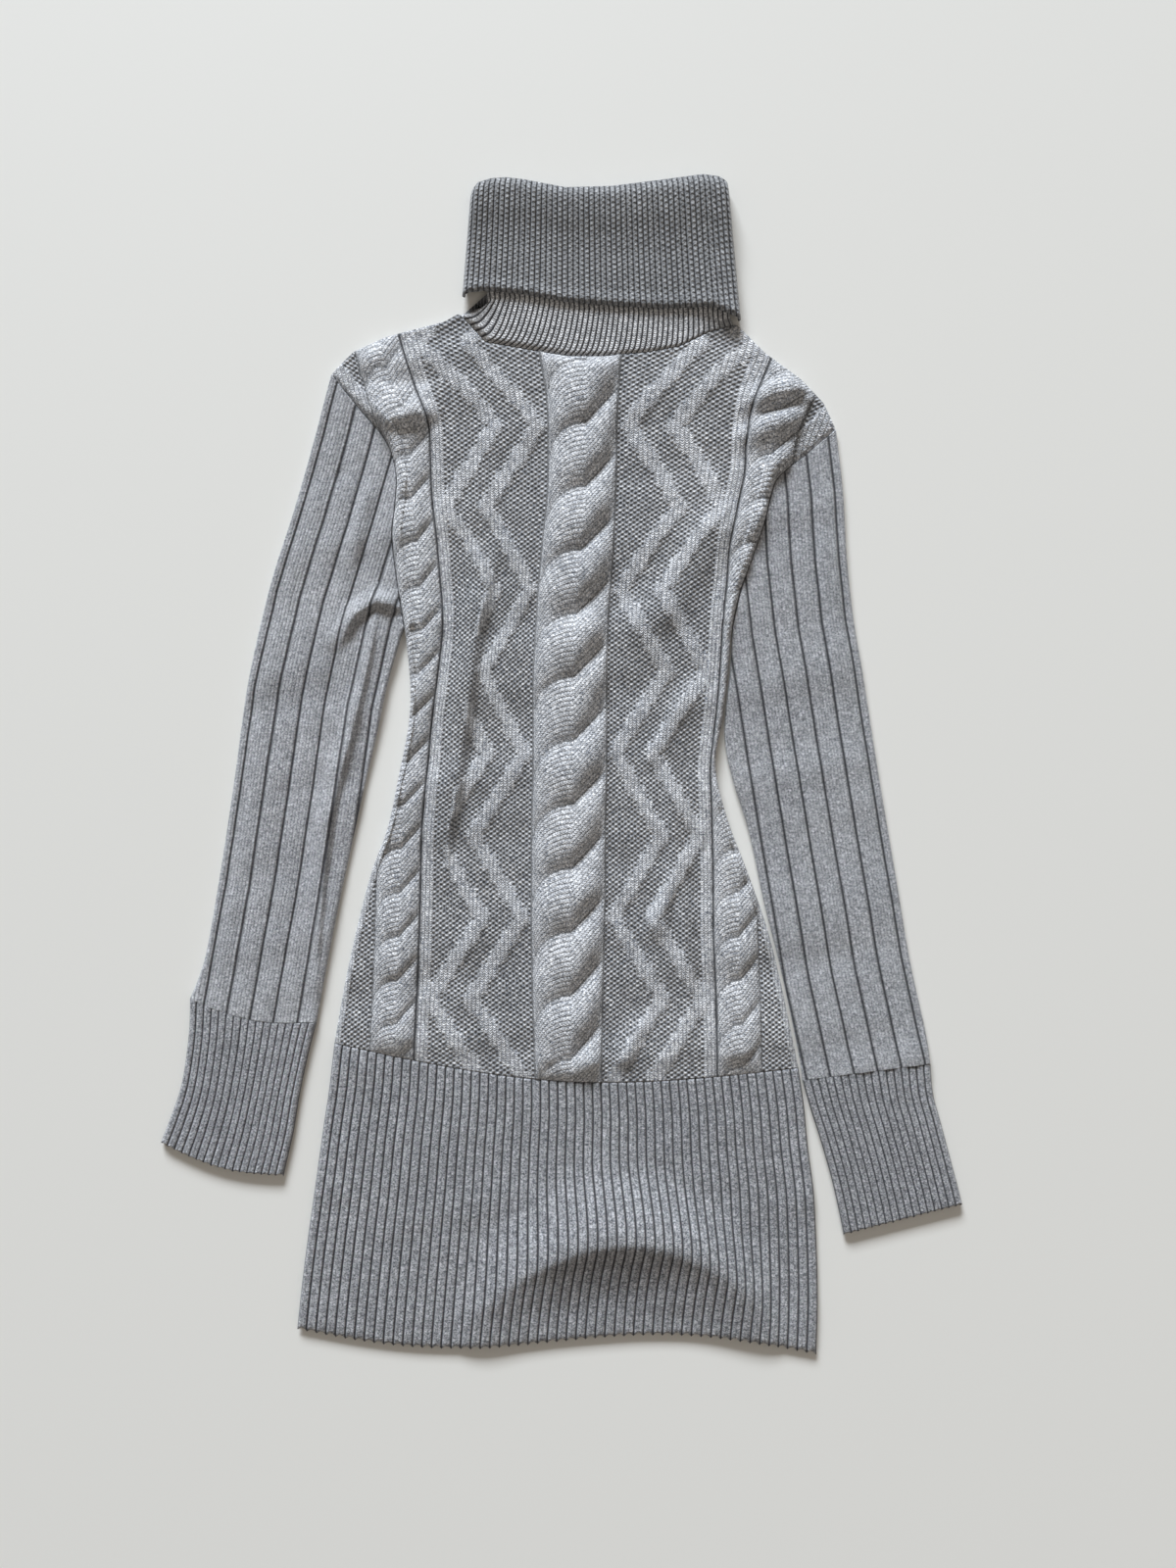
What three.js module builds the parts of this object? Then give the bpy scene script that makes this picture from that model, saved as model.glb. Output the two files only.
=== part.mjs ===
// A long fine-knit tunic with a turned-down roll collar, laid flat on its back with its front up.
// Every piece is a wall of knitted cloth: front and back lie on each other, the sleeves, cuffs and
// collar are flattened tubes, and the centre and side rope cables are raised, thicker cloth.
//
// Frame: millimetres. +X points to the wearer's left, +Y to the collar, +Z up off the surface.
// The origin is the middle of the footprint, on the surface that the garment lies on.
import * as THREE from "three";

// Cloth
const WALL = 2.2; // one layer of knit
const GAP = 0.3; // between layers that lie on each other
const SEAM_GAP = 0.4; // between pieces along a seam, measured along one axis
const FRONT_UNDER = WALL + GAP; // height of the front layer's underside
const MIDDLE = WALL + GAP / 2; // height half-way through the two layers

// Body: one row for each cross-section, from the shoulder tips (row 0) to the join with the hem rib.
// right and left are the outline's [x, y] there; ribs and rope are the x of the two vertical rib
// lines and of the centre rope's two edges. Rows 0 to ARMHOLE_ROWS run down the armhole.
const ARMHOLE_ROWS = 7;
const BODY_SECTIONS = [
  { right: [-167, 283], ribs: [-114, 148], rope: [-15, 42], left: [199, 243] },
  { right: [-147, 258], ribs: [-104, 135], rope: [-10, 40], left: [178, 225] },
  { right: [-127, 234], ribs: [-93, 130], rope: [-9, 39], left: [158, 209] },
  { right: [-120, 210], ribs: [-91, 129], rope: [-9, 39], left: [152, 195] },
  { right: [-121, 187], ribs: [-90, 124], rope: [-10, 38], left: [147, 175] },
  { right: [-123, 164], ribs: [-87, 118], rope: [-13, 37], left: [138, 149] },
  { right: [-119, 130], ribs: [-84, 116], rope: [-16, 35], left: [130, 126] },
  { right: [-114, 99], ribs: [-82, 113], rope: [-18, 33], left: [124, 100] },
  { right: [-110, 59], ribs: [-86, 111], rope: [-20, 32], left: [121, 67] },
  { right: [-111, 30], ribs: [-90, 108], rope: [-20, 32], left: [117, 33] },
  { right: [-117, -2], ribs: [-93, 104], rope: [-20, 32], left: [112, -1] },
  { right: [-126, -45], ribs: [-97, 105], rope: [-21, 31], left: [120, -38] },
  { right: [-138, -78], ribs: [-98, 106], rope: [-21, 31], left: [135, -78] },
  { right: [-149, -120], ribs: [-99, 106], rope: [-21, 30], left: [149, -118] },
  { right: [-158, -162], ribs: [-101, 108], rope: [-20, 29], left: [160, -162] },
  { right: [-165, -202], ribs: [-103, 109], rope: [-18, 28], left: [172, -220] },
];
// Columns of the body's grid between right edge, rib, rope, rope, rib and left edge.
const BLOCK_COLUMNS = [4, 5, 4, 5, 4];
// The neck opening lies between these two columns, where the shoulder seams end.
const NECK_COLUMNS = [6, 17];
// Top edge: the shoulder seams and, between the neck columns, the front and back necklines.
const TOP_EDGE = [
  { x: -167, front: 283, back: 283 },
  { x: -151, front: 299, back: 299 },
  { x: -127, front: 310, back: 310 },
  { x: -85, front: 321, back: 321 },
  { x: -74.4, front: 327, back: 327 },
  { x: -55, front: 306, back: 320 },
  { x: -20, front: 300, back: 317 },
  { x: 5, front: 296, back: 316 },
  { x: 30, front: 296, back: 316 },
  { x: 64, front: 299, back: 316 },
  { x: 85, front: 303, back: 317 },
  { x: 106, front: 313, back: 318 },
  { x: 126.8, front: 319, back: 319 },
  { x: 148, front: 298, back: 298 },
  { x: 174, front: 279, back: 279 },
  { x: 190, front: 262, back: 262 },
  { x: 199, front: 243, back: 243 },
];
const TOP_FADE = 0.72; // share of the top edge's shape that each row hands to the next
const JOIN_SAG = 19; // how far the hem join hangs below a straight line, at its middle

// Raised cloth and folds of the front
const ROPE_RISE = 4.5;
const SIDE_ROPE_RISE = 3;
const SIDE_ROPE_WIDTH = 34; // a side block narrower than this shows only part of its rope
const FOLDS = [
  { what: "pleat beside the right rib line", from: [-54, 131], to: [-84, -70], width: 15, height: 3.4 },
  { what: "right shoulder pucker", from: [-144, 272], to: [-105, 268], width: 14, height: 3.2 },
  { what: "left shoulder pucker", from: [143, 268], to: [170, 240], width: 16, height: 3.4 },
  { what: "crease across the left chest", from: [108, 156], to: [62, 99], width: 20, height: 3.2 },
  { what: "crease above the left waist", from: [92, 57], to: [65, 7], width: 17, height: 2.8 },
  { what: "crease over the left hip", from: [87, -64], to: [65, -121], width: 16, height: 3 },
  { what: "crease above the hem join", from: [62, -180], to: [42, -216], width: 15, height: 2.6 },
];

// Hem rib: one row for each cross-section, from the join down to the open edge.
const HEM_SECTIONS = [
  { right: [-165, -202], left: [172, -220] },
  { right: [-168, -230], left: [176, -248] },
  { right: [-173, -263], left: [179, -279] },
  { right: [-178, -300], left: [183, -310] },
  { right: [-183, -334], left: [185, -345] },
  { right: [-188, -372], left: [186, -385] },
  { right: [-192, -408], left: [185, -426.4] },
];
const HEM_WAVE = 9; // the open edge waves this far down on the right and up on the left
// The front hem stands up in one arched fold. Its crest runs at crestY, lower towards both ends.
const ARCH = { x: 45, crestY: -345, rise: 13, reach: 118, droop: 0.0048, above: 55, below: 42 };

// Sleeves: the outer edge runs from the shoulder tip, the inner edge from the underarm.
const RIGHT_SLEEVE = [
  { outer: [-167, 283], inner: [-114, 99] },
  { outer: [-178, 241], inner: [-120, 80] },
  { outer: [-194, 185], inner: [-127, 55] },
  { outer: [-212, 128], inner: [-134, 22] },
  { outer: [-228, 57], inner: [-142, -12] },
  { outer: [-238, -14], inner: [-151, -52] },
  { outer: [-249, -85], inner: [-161, -98] },
  { outer: [-259, -140], inner: [-169, -138] },
  { outer: [-270, -170], inner: [-178, -187] },
];
const LEFT_SLEEVE = [
  { outer: [199, 243], inner: [124, 100] },
  { outer: [204, 199], inner: [122, 67] },
  { outer: [207, 150], inner: [118.5, 33] },
  { outer: [212, 105], inner: [119, 12] },
  { outer: [220, 58], inner: [125, -14] },
  { outer: [229, 0], inner: [136.5, -51] },
  { outer: [241, -71], inner: [147, -100] },
  { outer: [253, -142], inner: [159.5, -150] },
  { outer: [264, -192], inner: [171.5, -206] },
  { outer: [268, -217], inner: [175, -229] },
];
const RIGHT_CUFF = [
  { outer: [-270, -170], inner: [-178, -187] },
  { outer: [-271, -196], inner: [-183, -206] },
  { outer: [-276, -231], inner: [-190, -238] },
  { outer: [-284, -256], inner: [-195, -268] },
  { outer: [-291, -273], inner: [-202, -297] },
];
const LEFT_CUFF = [
  { outer: [268, -217], inner: [175, -229] },
  { outer: [270, -239], inner: [181, -250] },
  { outer: [275, -258], inner: [188, -272] },
  { outer: [283, -288], inner: [197, -304] },
  { outer: [291, -318], inner: [205, -340] },
];
const RIGHT_CUFF_BOW = -7; // the right cuff's join and open edge hang below a straight line
const LEFT_CUFF_BOW = 0;
const TUBE_EDGE = 2.4; // the rounded edge of a flattened sleeve or cuff
const SLEEVE_PLEATS = [
  { what: "pleat from the underarm to the elbow", from: [-137, 88], to: [-172, -100], width: 13, height: 3.4 },
  { what: "wrinkle in the right armhole", from: [-140, 190], to: [-150, 140], width: 10, height: 2.4 },
];

// Collar: heights of its top bend and of its turned-down edge, from the right side (0) to the left (1).
const COLLAR_EDGES = [
  { across: 0, top: 412, turned: 339 },
  { across: 0.08, top: 424, turned: 342 },
  { across: 0.2, top: 423, turned: 340 },
  { across: 0.37, top: 417, turned: 334 },
  { across: 0.55, top: 418, turned: 331 },
  { across: 0.72, top: 422, turned: 329 },
  { across: 0.9, top: 426.5, turned: 330 },
  { across: 0.96, top: 425, turned: 324 },
  { across: 1, top: 421, turned: 321 },
];
const COLLAR_BEND = 3; // how far below the top the bend between stand and turn-down starts
const BACK_TURNED_SHORTER = 9; // the turn-down ends this much higher at the back
const STAND_BELOW_TURNED = 4; // the stand comes down to the body's level below this
const STAND_ABOVE_SEAM = 4; // and keeps this much of itself above its seam
// Half-heights of the collar's four surfaces about its middle, from the inside out.
const COLLAR_LAYERS = { standInner: GAP / 2, standOuter: WALL + GAP / 2 };
COLLAR_LAYERS.turnedInner = COLLAR_LAYERS.standOuter + GAP;
COLLAR_LAYERS.turnedOuter = COLLAR_LAYERS.turnedInner + WALL;
COLLAR_LAYERS.bend = (COLLAR_LAYERS.standOuter + COLLAR_LAYERS.turnedInner) / 2;
// One row for each step of the collar's section, up the stand and down the turn-down.
// down is the share of the way from the top bend to the turned-down edge, outside and inside are the
// layers on the two faces of the wall, and right and left are the x of the collar's two sides.
const COLLAR_SECTION = [
  { part: "seam", outside: "standInner", inside: "standOuter", right: -74.4, left: 126.8 },
  { part: "stand", down: 1, outside: "standInner", inside: "standOuter", right: -71, left: 127 },
  { part: "stand", down: 0.5, outside: "standInner", inside: "standOuter", right: -69, left: 124 },
  { part: "stand", down: 0, outside: "standInner", inside: "standOuter", right: -66, left: 121 },
  { part: "bend", outside: "bend", inside: "bend", right: -66, left: 121 },
  { part: "turned", down: 0, outside: "turnedOuter", inside: "turnedInner", right: -66, left: 121 },
  { part: "turned", down: 0.5, outside: "turnedOuter", inside: "turnedInner", right: -69, left: 124 },
  { part: "turned", down: 1, outside: "turnedOuter", inside: "turnedInner", right: -72, left: 130 },
];

const KNIT_COLOURS = { panel: 0x8c95a3, rib: 0x868e9b, sleeve: 0x8b929d, collar: 0x6f7b88 };
const KNIT_ROUGHNESS = 0.95;

// ---- numbers and tables ----

const lerp = (a, b, t) => a + (b - a) * t;
const lerpPoint = (a, b, t) => a.map((value, i) => lerp(value, b[i], t));

// The value of a table's column at a fractional row: straight between rows.
function atRow(table, row, column) {
  const low = Math.min(Math.floor(row), table.length - 2);
  return lerpPoint(table[low][column], table[low + 1][column], row - low);
}

// The value of one column where another column has the value key: straight between rows.
function lookUp(table, keyColumn, key, column) {
  const next = table.findIndex((row) => row[keyColumn] >= key);
  const high = next < 0 ? table.length - 1 : Math.max(next, 1);
  const a = table[high - 1];
  const b = table[high];
  const t = (key - a[keyColumn]) / (b[keyColumn] - a[keyColumn]);
  return lerp(a[column], b[column], THREE.MathUtils.clamp(t, 0, 1));
}

// Height of the folds at a point: each is a soft ridge round its line, cos^2 across its width.
function foldHeight(folds, x, y) {
  return folds.reduce((height, fold) => {
    const [ax, ay] = fold.from;
    const dx = fold.to[0] - ax;
    const dy = fold.to[1] - ay;
    const t = THREE.MathUtils.clamp(((x - ax) * dx + (y - ay) * dy) / (dx * dx + dy * dy), 0, 1);
    const away = Math.hypot(x - ax - t * dx, y - ay - t * dy) / fold.width;
    const ridge = away < 1 ? fold.height * Math.cos((away * Math.PI) / 2) ** 2 : 0;
    return Math.max(height, ridge);
  }, 0);
}

// ---- walls of cloth ----

// A closed wall between two grids of points with the same rows and columns. round joins the last
// column to the first, for a tube; otherwise the two side edges are closed by strips.
function wallBetween(outside, inside, round) {
  const rows = outside.length;
  const columns = outside[0].length;
  const points = new Float32Array([...outside.flat(2), ...inside.flat(2)]);
  const at = (side, row, column) => side * rows * columns + row * columns + (column % columns);
  const faces = [];
  const quad = (a, b, c, d) => faces.push(a, b, c, a, c, d);
  const spans = round ? columns : columns - 1;
  for (let row = 0; row < rows - 1; row += 1) {
    for (let column = 0; column < spans; column += 1) {
      quad(at(0, row, column), at(0, row + 1, column), at(0, row + 1, column + 1), at(0, row, column + 1));
      quad(at(1, row, column), at(1, row, column + 1), at(1, row + 1, column + 1), at(1, row + 1, column));
    }
    if (!round) {
      quad(at(0, row, 0), at(1, row, 0), at(1, row + 1, 0), at(0, row + 1, 0));
      const last = columns - 1;
      quad(at(0, row, last), at(0, row + 1, last), at(1, row + 1, last), at(1, row, last));
    }
  }
  const end = rows - 1;
  for (let column = 0; column < spans; column += 1) {
    quad(at(0, 0, column), at(0, 0, column + 1), at(1, 0, column + 1), at(1, 0, column));
    quad(at(0, end, column), at(1, end, column), at(1, end, column + 1), at(0, end, column + 1));
  }
  const geometry = new THREE.BufferGeometry();
  geometry.setAttribute("position", new THREE.BufferAttribute(points, 3));
  geometry.setIndex(volumeOf(points, faces) < 0 ? faces.reverse() : faces);
  geometry.computeVertexNormals();
  return geometry;
}

// Signed volume inside the faces: the sum of the tetrahedra from the origin to each face.
function volumeOf(points, faces) {
  const corner = (i) => new THREE.Vector3().fromArray(points, 3 * faces[i]);
  let volume = 0;
  for (let i = 0; i < faces.length; i += 3) {
    volume += corner(i).dot(corner(i + 1).cross(corner(i + 2))) / 6;
  }
  return volume;
}

// A grid of points: make(row, column) for whole rows and columns.
function grid(rows, columns, make) {
  return Array.from({ length: rows + 1 }, (_, row) =>
    Array.from({ length: columns + 1 }, (__, column) => make(row, column)),
  );
}

const pieces = new THREE.Group();
function addPiece(name, colour, geometry) {
  const material = new THREE.MeshStandardMaterial({ color: colour, roughness: KNIT_ROUGHNESS, metalness: 0 });
  const mesh = new THREE.Mesh(geometry, material);
  mesh.name = name;
  pieces.add(mesh);
}

// ---- body: front and back panels ----

const BODY_COLUMNS = BLOCK_COLUMNS.reduce((sum, count) => sum + count, 0);
const BODY_LAST = BODY_SECTIONS.length - 1;

// Which block a column is in, and how far through it.
function blockOf(column) {
  let start = 0;
  let block = 0;
  while (block < BLOCK_COLUMNS.length - 1 && column > start + BLOCK_COLUMNS[block]) {
    start += BLOCK_COLUMNS[block];
    block += 1;
  }
  return { block, share: (column - start) / BLOCK_COLUMNS[block] };
}

// The x of the lines that part the blocks, at one section.
function bodyLines(row) {
  const ribs = atRow(BODY_SECTIONS, row, "ribs");
  const rope = atRow(BODY_SECTIONS, row, "rope");
  const right = atRow(BODY_SECTIONS, row, "right")[0];
  const left = atRow(BODY_SECTIONS, row, "left")[0];
  return [right, ribs[0], rope[0], rope[1], ribs[1], left];
}

function bodyX(row, column) {
  const { block, share } = blockOf(column);
  const lines = bodyLines(row);
  return lerp(lines[block], lines[block + 1], share);
}

// Height up the body on the straight line between a section's two outline points.
function straightY(row, x) {
  const right = atRow(BODY_SECTIONS, row, "right");
  const left = atRow(BODY_SECTIONS, row, "left");
  return lerp(right[1], left[1], (x - right[0]) / (left[0] - right[0]));
}

// A point of the body: the straight section, bent up to the top edge and down to the hem join.
function bodyPoint(row, column, layer) {
  const x = bodyX(row, column);
  const topX = bodyX(0, column);
  const topBow = lookUp(TOP_EDGE, "x", topX, layer) - straightY(0, topX);
  const lines = bodyLines(row);
  const across = THREE.MathUtils.clamp((x - lines[0]) / (lines[5] - lines[0]), 0, 1);
  const joinBow = -JOIN_SAG * Math.sin(Math.PI * across) * (row / BODY_LAST) ** 3;
  return [x, straightY(row, x) + topBow * TOP_FADE ** row + joinBow];
}

// How much thicker the cloth is where the ropes stand up: an arch over the width of each rope.
function ropeRise(row, column) {
  const { block, share } = blockOf(column);
  const lines = bodyLines(row);
  if (block === 2) return ROPE_RISE * (1 - (2 * share - 1) ** 2);
  if (block === 1 || block === 3) return 0;
  const width = lines[block + 1] - lines[block];
  return SIDE_ROPE_RISE * Math.sin(Math.PI * share) * Math.min(1, width / SIDE_ROPE_WIDTH);
}

const FRONT_ROW_STEPS = 2; // grid rows between two sections of the front
function frontPoint(gridRow, column, face) {
  const row = gridRow / FRONT_ROW_STEPS;
  const [x, y] = bodyPoint(row, column, "front");
  const under = FRONT_UNDER + foldHeight(FOLDS, x, y);
  return [x, y, face === "under" ? under : under + WALL + ropeRise(row, column)];
}

const frontRows = BODY_LAST * FRONT_ROW_STEPS;
const frontPanel = wallBetween(
  grid(frontRows, BODY_COLUMNS, (row, column) => frontPoint(row, column, "over")),
  grid(frontRows, BODY_COLUMNS, (row, column) => frontPoint(row, column, "under")),
  false,
);
const backPanel = wallBetween(
  grid(BODY_LAST, BODY_COLUMNS, (row, column) => [...bodyPoint(row, column, "back"), WALL]),
  grid(BODY_LAST, BODY_COLUMNS, (row, column) => [...bodyPoint(row, column, "back"), 0]),
  false,
);
addPiece("front_panel", KNIT_COLOURS.panel, frontPanel);
addPiece("back_panel", KNIT_COLOURS.panel, backPanel);

// ---- hem rib ----

const HEM_LAST = HEM_SECTIONS.length - 1;

// A point of the hem: the join's curve at the top fades into the waved open edge.
function hemPoint(row, column) {
  const right = atRow(HEM_SECTIONS, row, "right");
  const left = atRow(HEM_SECTIONS, row, "left");
  const [topX, topY] = bodyPoint(BODY_LAST, column, "front");
  const top = BODY_SECTIONS[BODY_LAST];
  const across = (topX - top.right[0]) / (top.left[0] - top.right[0]);
  const share = row / HEM_LAST;
  const joinBow = (topY - straightY(BODY_LAST, topX)) * (1 - share);
  const wave = -HEM_WAVE * Math.sin(2 * Math.PI * across) * share ** 2;
  const [x, y] = lerpPoint(right, left, across);
  return [x, y + joinBow + wave - SEAM_GAP * (1 - share)];
}

// Height of the arched fold: cos^2 down both flanks of a crest that droops towards its ends.
function archHeight(x, y) {
  const out = (x - ARCH.x) / ARCH.reach;
  if (Math.abs(out) >= 1) return 0;
  const crest = ARCH.crestY - ARCH.droop * (x - ARCH.x) ** 2;
  const away = y > crest ? (y - crest) / ARCH.above : (crest - y) / ARCH.below;
  return away < 1 ? ARCH.rise * (1 - out * out) * Math.cos((away * Math.PI) / 2) ** 2 : 0;
}

const HEM_ROW_STEPS = 2; // grid rows between two sections of the front hem
function frontHemPoint(gridRow, column, face) {
  const [x, y] = hemPoint(gridRow / HEM_ROW_STEPS, column);
  return [x, y, FRONT_UNDER + archHeight(x, y) + (face === "over" ? WALL : 0)];
}

const hemRows = HEM_LAST * HEM_ROW_STEPS;
const frontHem = wallBetween(
  grid(hemRows, BODY_COLUMNS, (row, column) => frontHemPoint(row, column, "over")),
  grid(hemRows, BODY_COLUMNS, (row, column) => frontHemPoint(row, column, "under")),
  false,
);
const backHem = wallBetween(
  grid(HEM_LAST, BODY_COLUMNS, (row, column) => [...hemPoint(row, column), WALL]),
  grid(HEM_LAST, BODY_COLUMNS, (row, column) => [...hemPoint(row, column), 0]),
  false,
);
addPiece("front_hem_rib", KNIT_COLOURS.rib, frontHem);
addPiece("back_hem_rib", KNIT_COLOURS.rib, backHem);

// ---- sleeves and cuffs: flattened tubes ----

// The armhole's points from the shoulder tip to the underarm, as shares of a sleeve's width.
const armhole = (side) => BODY_SECTIONS.slice(0, ARMHOLE_ROWS + 1).map((section) => section[side]);

// A point of a tube laid flat. across runs from its outer to its inner edge; topCurve and endBow bend
// the two ends, and shift moves the piece off its neighbour.
function tubePoint(tube, row, across) {
  const last = tube.sections.length - 1;
  const share = row / last;
  const [x, y] = lerpPoint(atRow(tube.sections, row, "outer"), atRow(tube.sections, row, "inner"), across);
  const bow = [0, 0];
  if (tube.topCurve) {
    const curve = tube.topCurve.map((point) => ({ point }));
    const seam = atRow(curve, across * (curve.length - 1), "point");
    const straight = lerpPoint(tube.sections[0].outer, tube.sections[0].inner, across);
    bow[0] = (seam[0] - straight[0]) * (1 - share) ** 2;
    bow[1] = (seam[1] - straight[1]) * (1 - share) ** 2;
  }
  const endBow = tube.topCurve ? tube.endBow * share ** 3 : tube.endBow;
  return [
    x + bow[0] + tube.shift[0] * (1 - share),
    y + bow[1] + endBow * Math.sin(Math.PI * across) + tube.shift[1] * (1 - share),
  ];
}

// The ring of points round one section, on the tube's outside or inside: the outer edge, the upper
// layer, the inner edge and the lower layer.
function tubeRing(tube, row, columns, face) {
  const outer = tubePoint(tube, row, 0);
  const inner = tubePoint(tube, row, 1);
  const width = Math.hypot(inner[0] - outer[0], inner[1] - outer[1]);
  const wall = face === "outside" ? 0 : WALL;
  const inset = (wall + TUBE_EDGE * (wall ? 0.5 : 1)) / width;
  const spread = (column) => lerp(inset, 1 - inset, column / columns);
  const upperZ = (x, y) => FRONT_UNDER + WALL - wall + foldHeight(tube.folds, x, y);
  const upper = Array.from({ length: columns + 1 }, (_, column) => {
    const [x, y] = tubePoint(tube, row, spread(column));
    return [x, y, upperZ(x, y)];
  });
  const lower = Array.from({ length: columns + 1 }, (_, column) => {
    return [...tubePoint(tube, row, spread(columns - column)), wall];
  });
  const edge = (across) => [...tubePoint(tube, row, across), MIDDLE];
  return [edge(wall / width), ...upper, edge(1 - wall / width), ...lower];
}

function tubeGeometry(tube, columns, steps) {
  const rows = (tube.sections.length - 1) * steps;
  const rings = (face) =>
    Array.from({ length: rows + 1 }, (_, row) => tubeRing(tube, row / steps, columns, face));
  return wallBetween(rings("outside"), rings("inside"), true);
}

const SLEEVE_COLUMNS = ARMHOLE_ROWS;
const CUFF_COLUMNS = 6;
const sleeves = [
  { side: "right", sections: RIGHT_SLEEVE, out: -1, endBow: RIGHT_CUFF_BOW, folds: SLEEVE_PLEATS, steps: 2 },
  { side: "left", sections: LEFT_SLEEVE, out: 1, endBow: LEFT_CUFF_BOW, folds: [], steps: 1 },
];
for (const { side, sections, out, endBow, folds, steps } of sleeves) {
  const tube = { sections, endBow, folds, topCurve: armhole(side), shift: [out * SEAM_GAP, 0] };
  addPiece(`${side}_sleeve`, KNIT_COLOURS.sleeve, tubeGeometry(tube, SLEEVE_COLUMNS, steps));
}
const cuffs = [
  { name: "right_cuff", sections: RIGHT_CUFF, endBow: RIGHT_CUFF_BOW },
  { name: "left_cuff", sections: LEFT_CUFF, endBow: LEFT_CUFF_BOW },
];
for (const { name, sections, endBow } of cuffs) {
  const tube = { sections, endBow, folds: [], shift: [0, -SEAM_GAP] };
  addPiece(name, KNIT_COLOURS.rib, tubeGeometry(tube, CUFF_COLUMNS, 1));
}

// ---- collar: a tube that stands up from the neckline and turns down outside itself ----

const SIDE_INSET = 0.025; // share of the width where the collar's flat layers give way to its side bends

// Places round the collar: its right side, the front layer, its left side and the back layer.
function collarPlaces() {
  const columns = Array.from(
    { length: NECK_COLUMNS[1] - NECK_COLUMNS[0] + 1 },
    (_, i) => NECK_COLUMNS[0] + i,
  );
  const start = bodyX(0, NECK_COLUMNS[0]);
  const end = bodyX(0, NECK_COLUMNS[1]);
  const shares = columns.map((column) => (bodyX(0, column) - start) / (end - start));
  const inner = shares.map((share) => THREE.MathUtils.clamp(share, SIDE_INSET, 1 - SIDE_INSET));
  return [
    { across: 0, layer: "side", away: 1 },
    ...inner.map((across) => ({ across, layer: "front" })),
    { across: 1, layer: "side", away: -1 },
    ...inner.toReversed().map((across) => ({ across, layer: "back" })),
  ];
}

// Height up the body of one place of the collar's section.
function collarY(section, across, layer, face) {
  const top = lookUp(COLLAR_EDGES, "across", across, "top");
  const shorter = layer === "back" ? BACK_TURNED_SHORTER : 0;
  const turned = lookUp(COLLAR_EDGES, "across", across, "turned") + shorter;
  const seamX = lerp(COLLAR_SECTION[0].right, COLLAR_SECTION[0].left, across);
  const seam = lookUp(TOP_EDGE, "x", seamX, layer === "back" ? "back" : "front") + SEAM_GAP;
  if (section.part === "seam") return seam;
  if (section.part === "bend") return top - (face === "inside" ? WALL : 0);
  const standLowest = Math.max(turned - STAND_BELOW_TURNED, seam + STAND_ABOVE_SEAM);
  return lerp(top - COLLAR_BEND, section.part === "stand" ? standLowest : turned, section.down);
}

// A point of the collar on one face of its wall. A layer's half-height sets how far it is above or
// below the collar's middle, and how far in from the side it turns.
function collarPoint(section, place, face) {
  const halfHeight = COLLAR_LAYERS[section[face]];
  const middle = section.part === "seam" ? MIDDLE : COLLAR_LAYERS.turnedOuter;
  const y = collarY(section, place.across, place.layer, face);
  const x = lerp(section.right, section.left, place.across);
  if (place.layer === "side") {
    const outermost = section.part === "seam" ? COLLAR_LAYERS.standOuter : COLLAR_LAYERS.turnedOuter;
    return [x + place.away * (outermost - halfHeight), y, middle];
  }
  return [x, y, place.layer === "front" ? middle + halfHeight : middle - halfHeight];
}

const places = collarPlaces();
const collarFace = (face) =>
  COLLAR_SECTION.map((section) => places.map((place) => collarPoint(section, place, face)));
addPiece("collar", KNIT_COLOURS.collar, wallBetween(collarFace("outside"), collarFace("inside"), true));

export default pieces;
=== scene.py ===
"""A cable knit tunic with a turned-down roll collar, laid flat on its back with its front up.

Left and right are the wearer's: +X is the wearer's left, +Y runs to the collar, +Z up off the table.
Sizes are in millimetres where they are named and in metres in the meshes.
"""

import bpy
import numpy as np
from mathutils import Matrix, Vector


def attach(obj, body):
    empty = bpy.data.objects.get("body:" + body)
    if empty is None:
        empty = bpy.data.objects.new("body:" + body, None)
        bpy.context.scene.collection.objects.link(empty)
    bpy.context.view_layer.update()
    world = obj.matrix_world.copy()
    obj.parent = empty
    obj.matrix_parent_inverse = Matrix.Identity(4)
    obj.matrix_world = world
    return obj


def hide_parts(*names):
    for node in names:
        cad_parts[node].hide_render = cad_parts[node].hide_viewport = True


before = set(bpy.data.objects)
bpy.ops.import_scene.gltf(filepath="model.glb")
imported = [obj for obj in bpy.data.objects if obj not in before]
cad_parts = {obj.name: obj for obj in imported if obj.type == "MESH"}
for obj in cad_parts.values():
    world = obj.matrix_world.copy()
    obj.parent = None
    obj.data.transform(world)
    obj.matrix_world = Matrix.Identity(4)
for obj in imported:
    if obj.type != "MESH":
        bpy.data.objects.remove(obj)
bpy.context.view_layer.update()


# ---- Table top, camera and window light ----
# The garment lies on a plain off-white table top. Daylight comes low from beyond the collar, and the
# room fills the shadows with a weak warm light.

MM = 0.001
TABLE_HALF = 4000
TABLE_COLOUR = (0.80, 0.785, 0.745, 1)
EYE_MM = (19.2, -14.2, 889)
LENS_MM = 28
FILM_MM = 36
# Place in metres, width and height in metres, power and colour of each light; both face the garment.
WINDOW_LIGHT = (-3.0, 12.8, 5.4), 7.0, 3.4, 3740, (0.85, 0.915, 0.985)
ROOM_LIGHT = (1.5, -3.4, 5.5), 6.0, 5.0, 45, (1.0, 0.89, 0.76)
ROOM_COLOUR, ROOM_STRENGTH = (1.0, 0.935, 0.86, 1), 0.21

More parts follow.
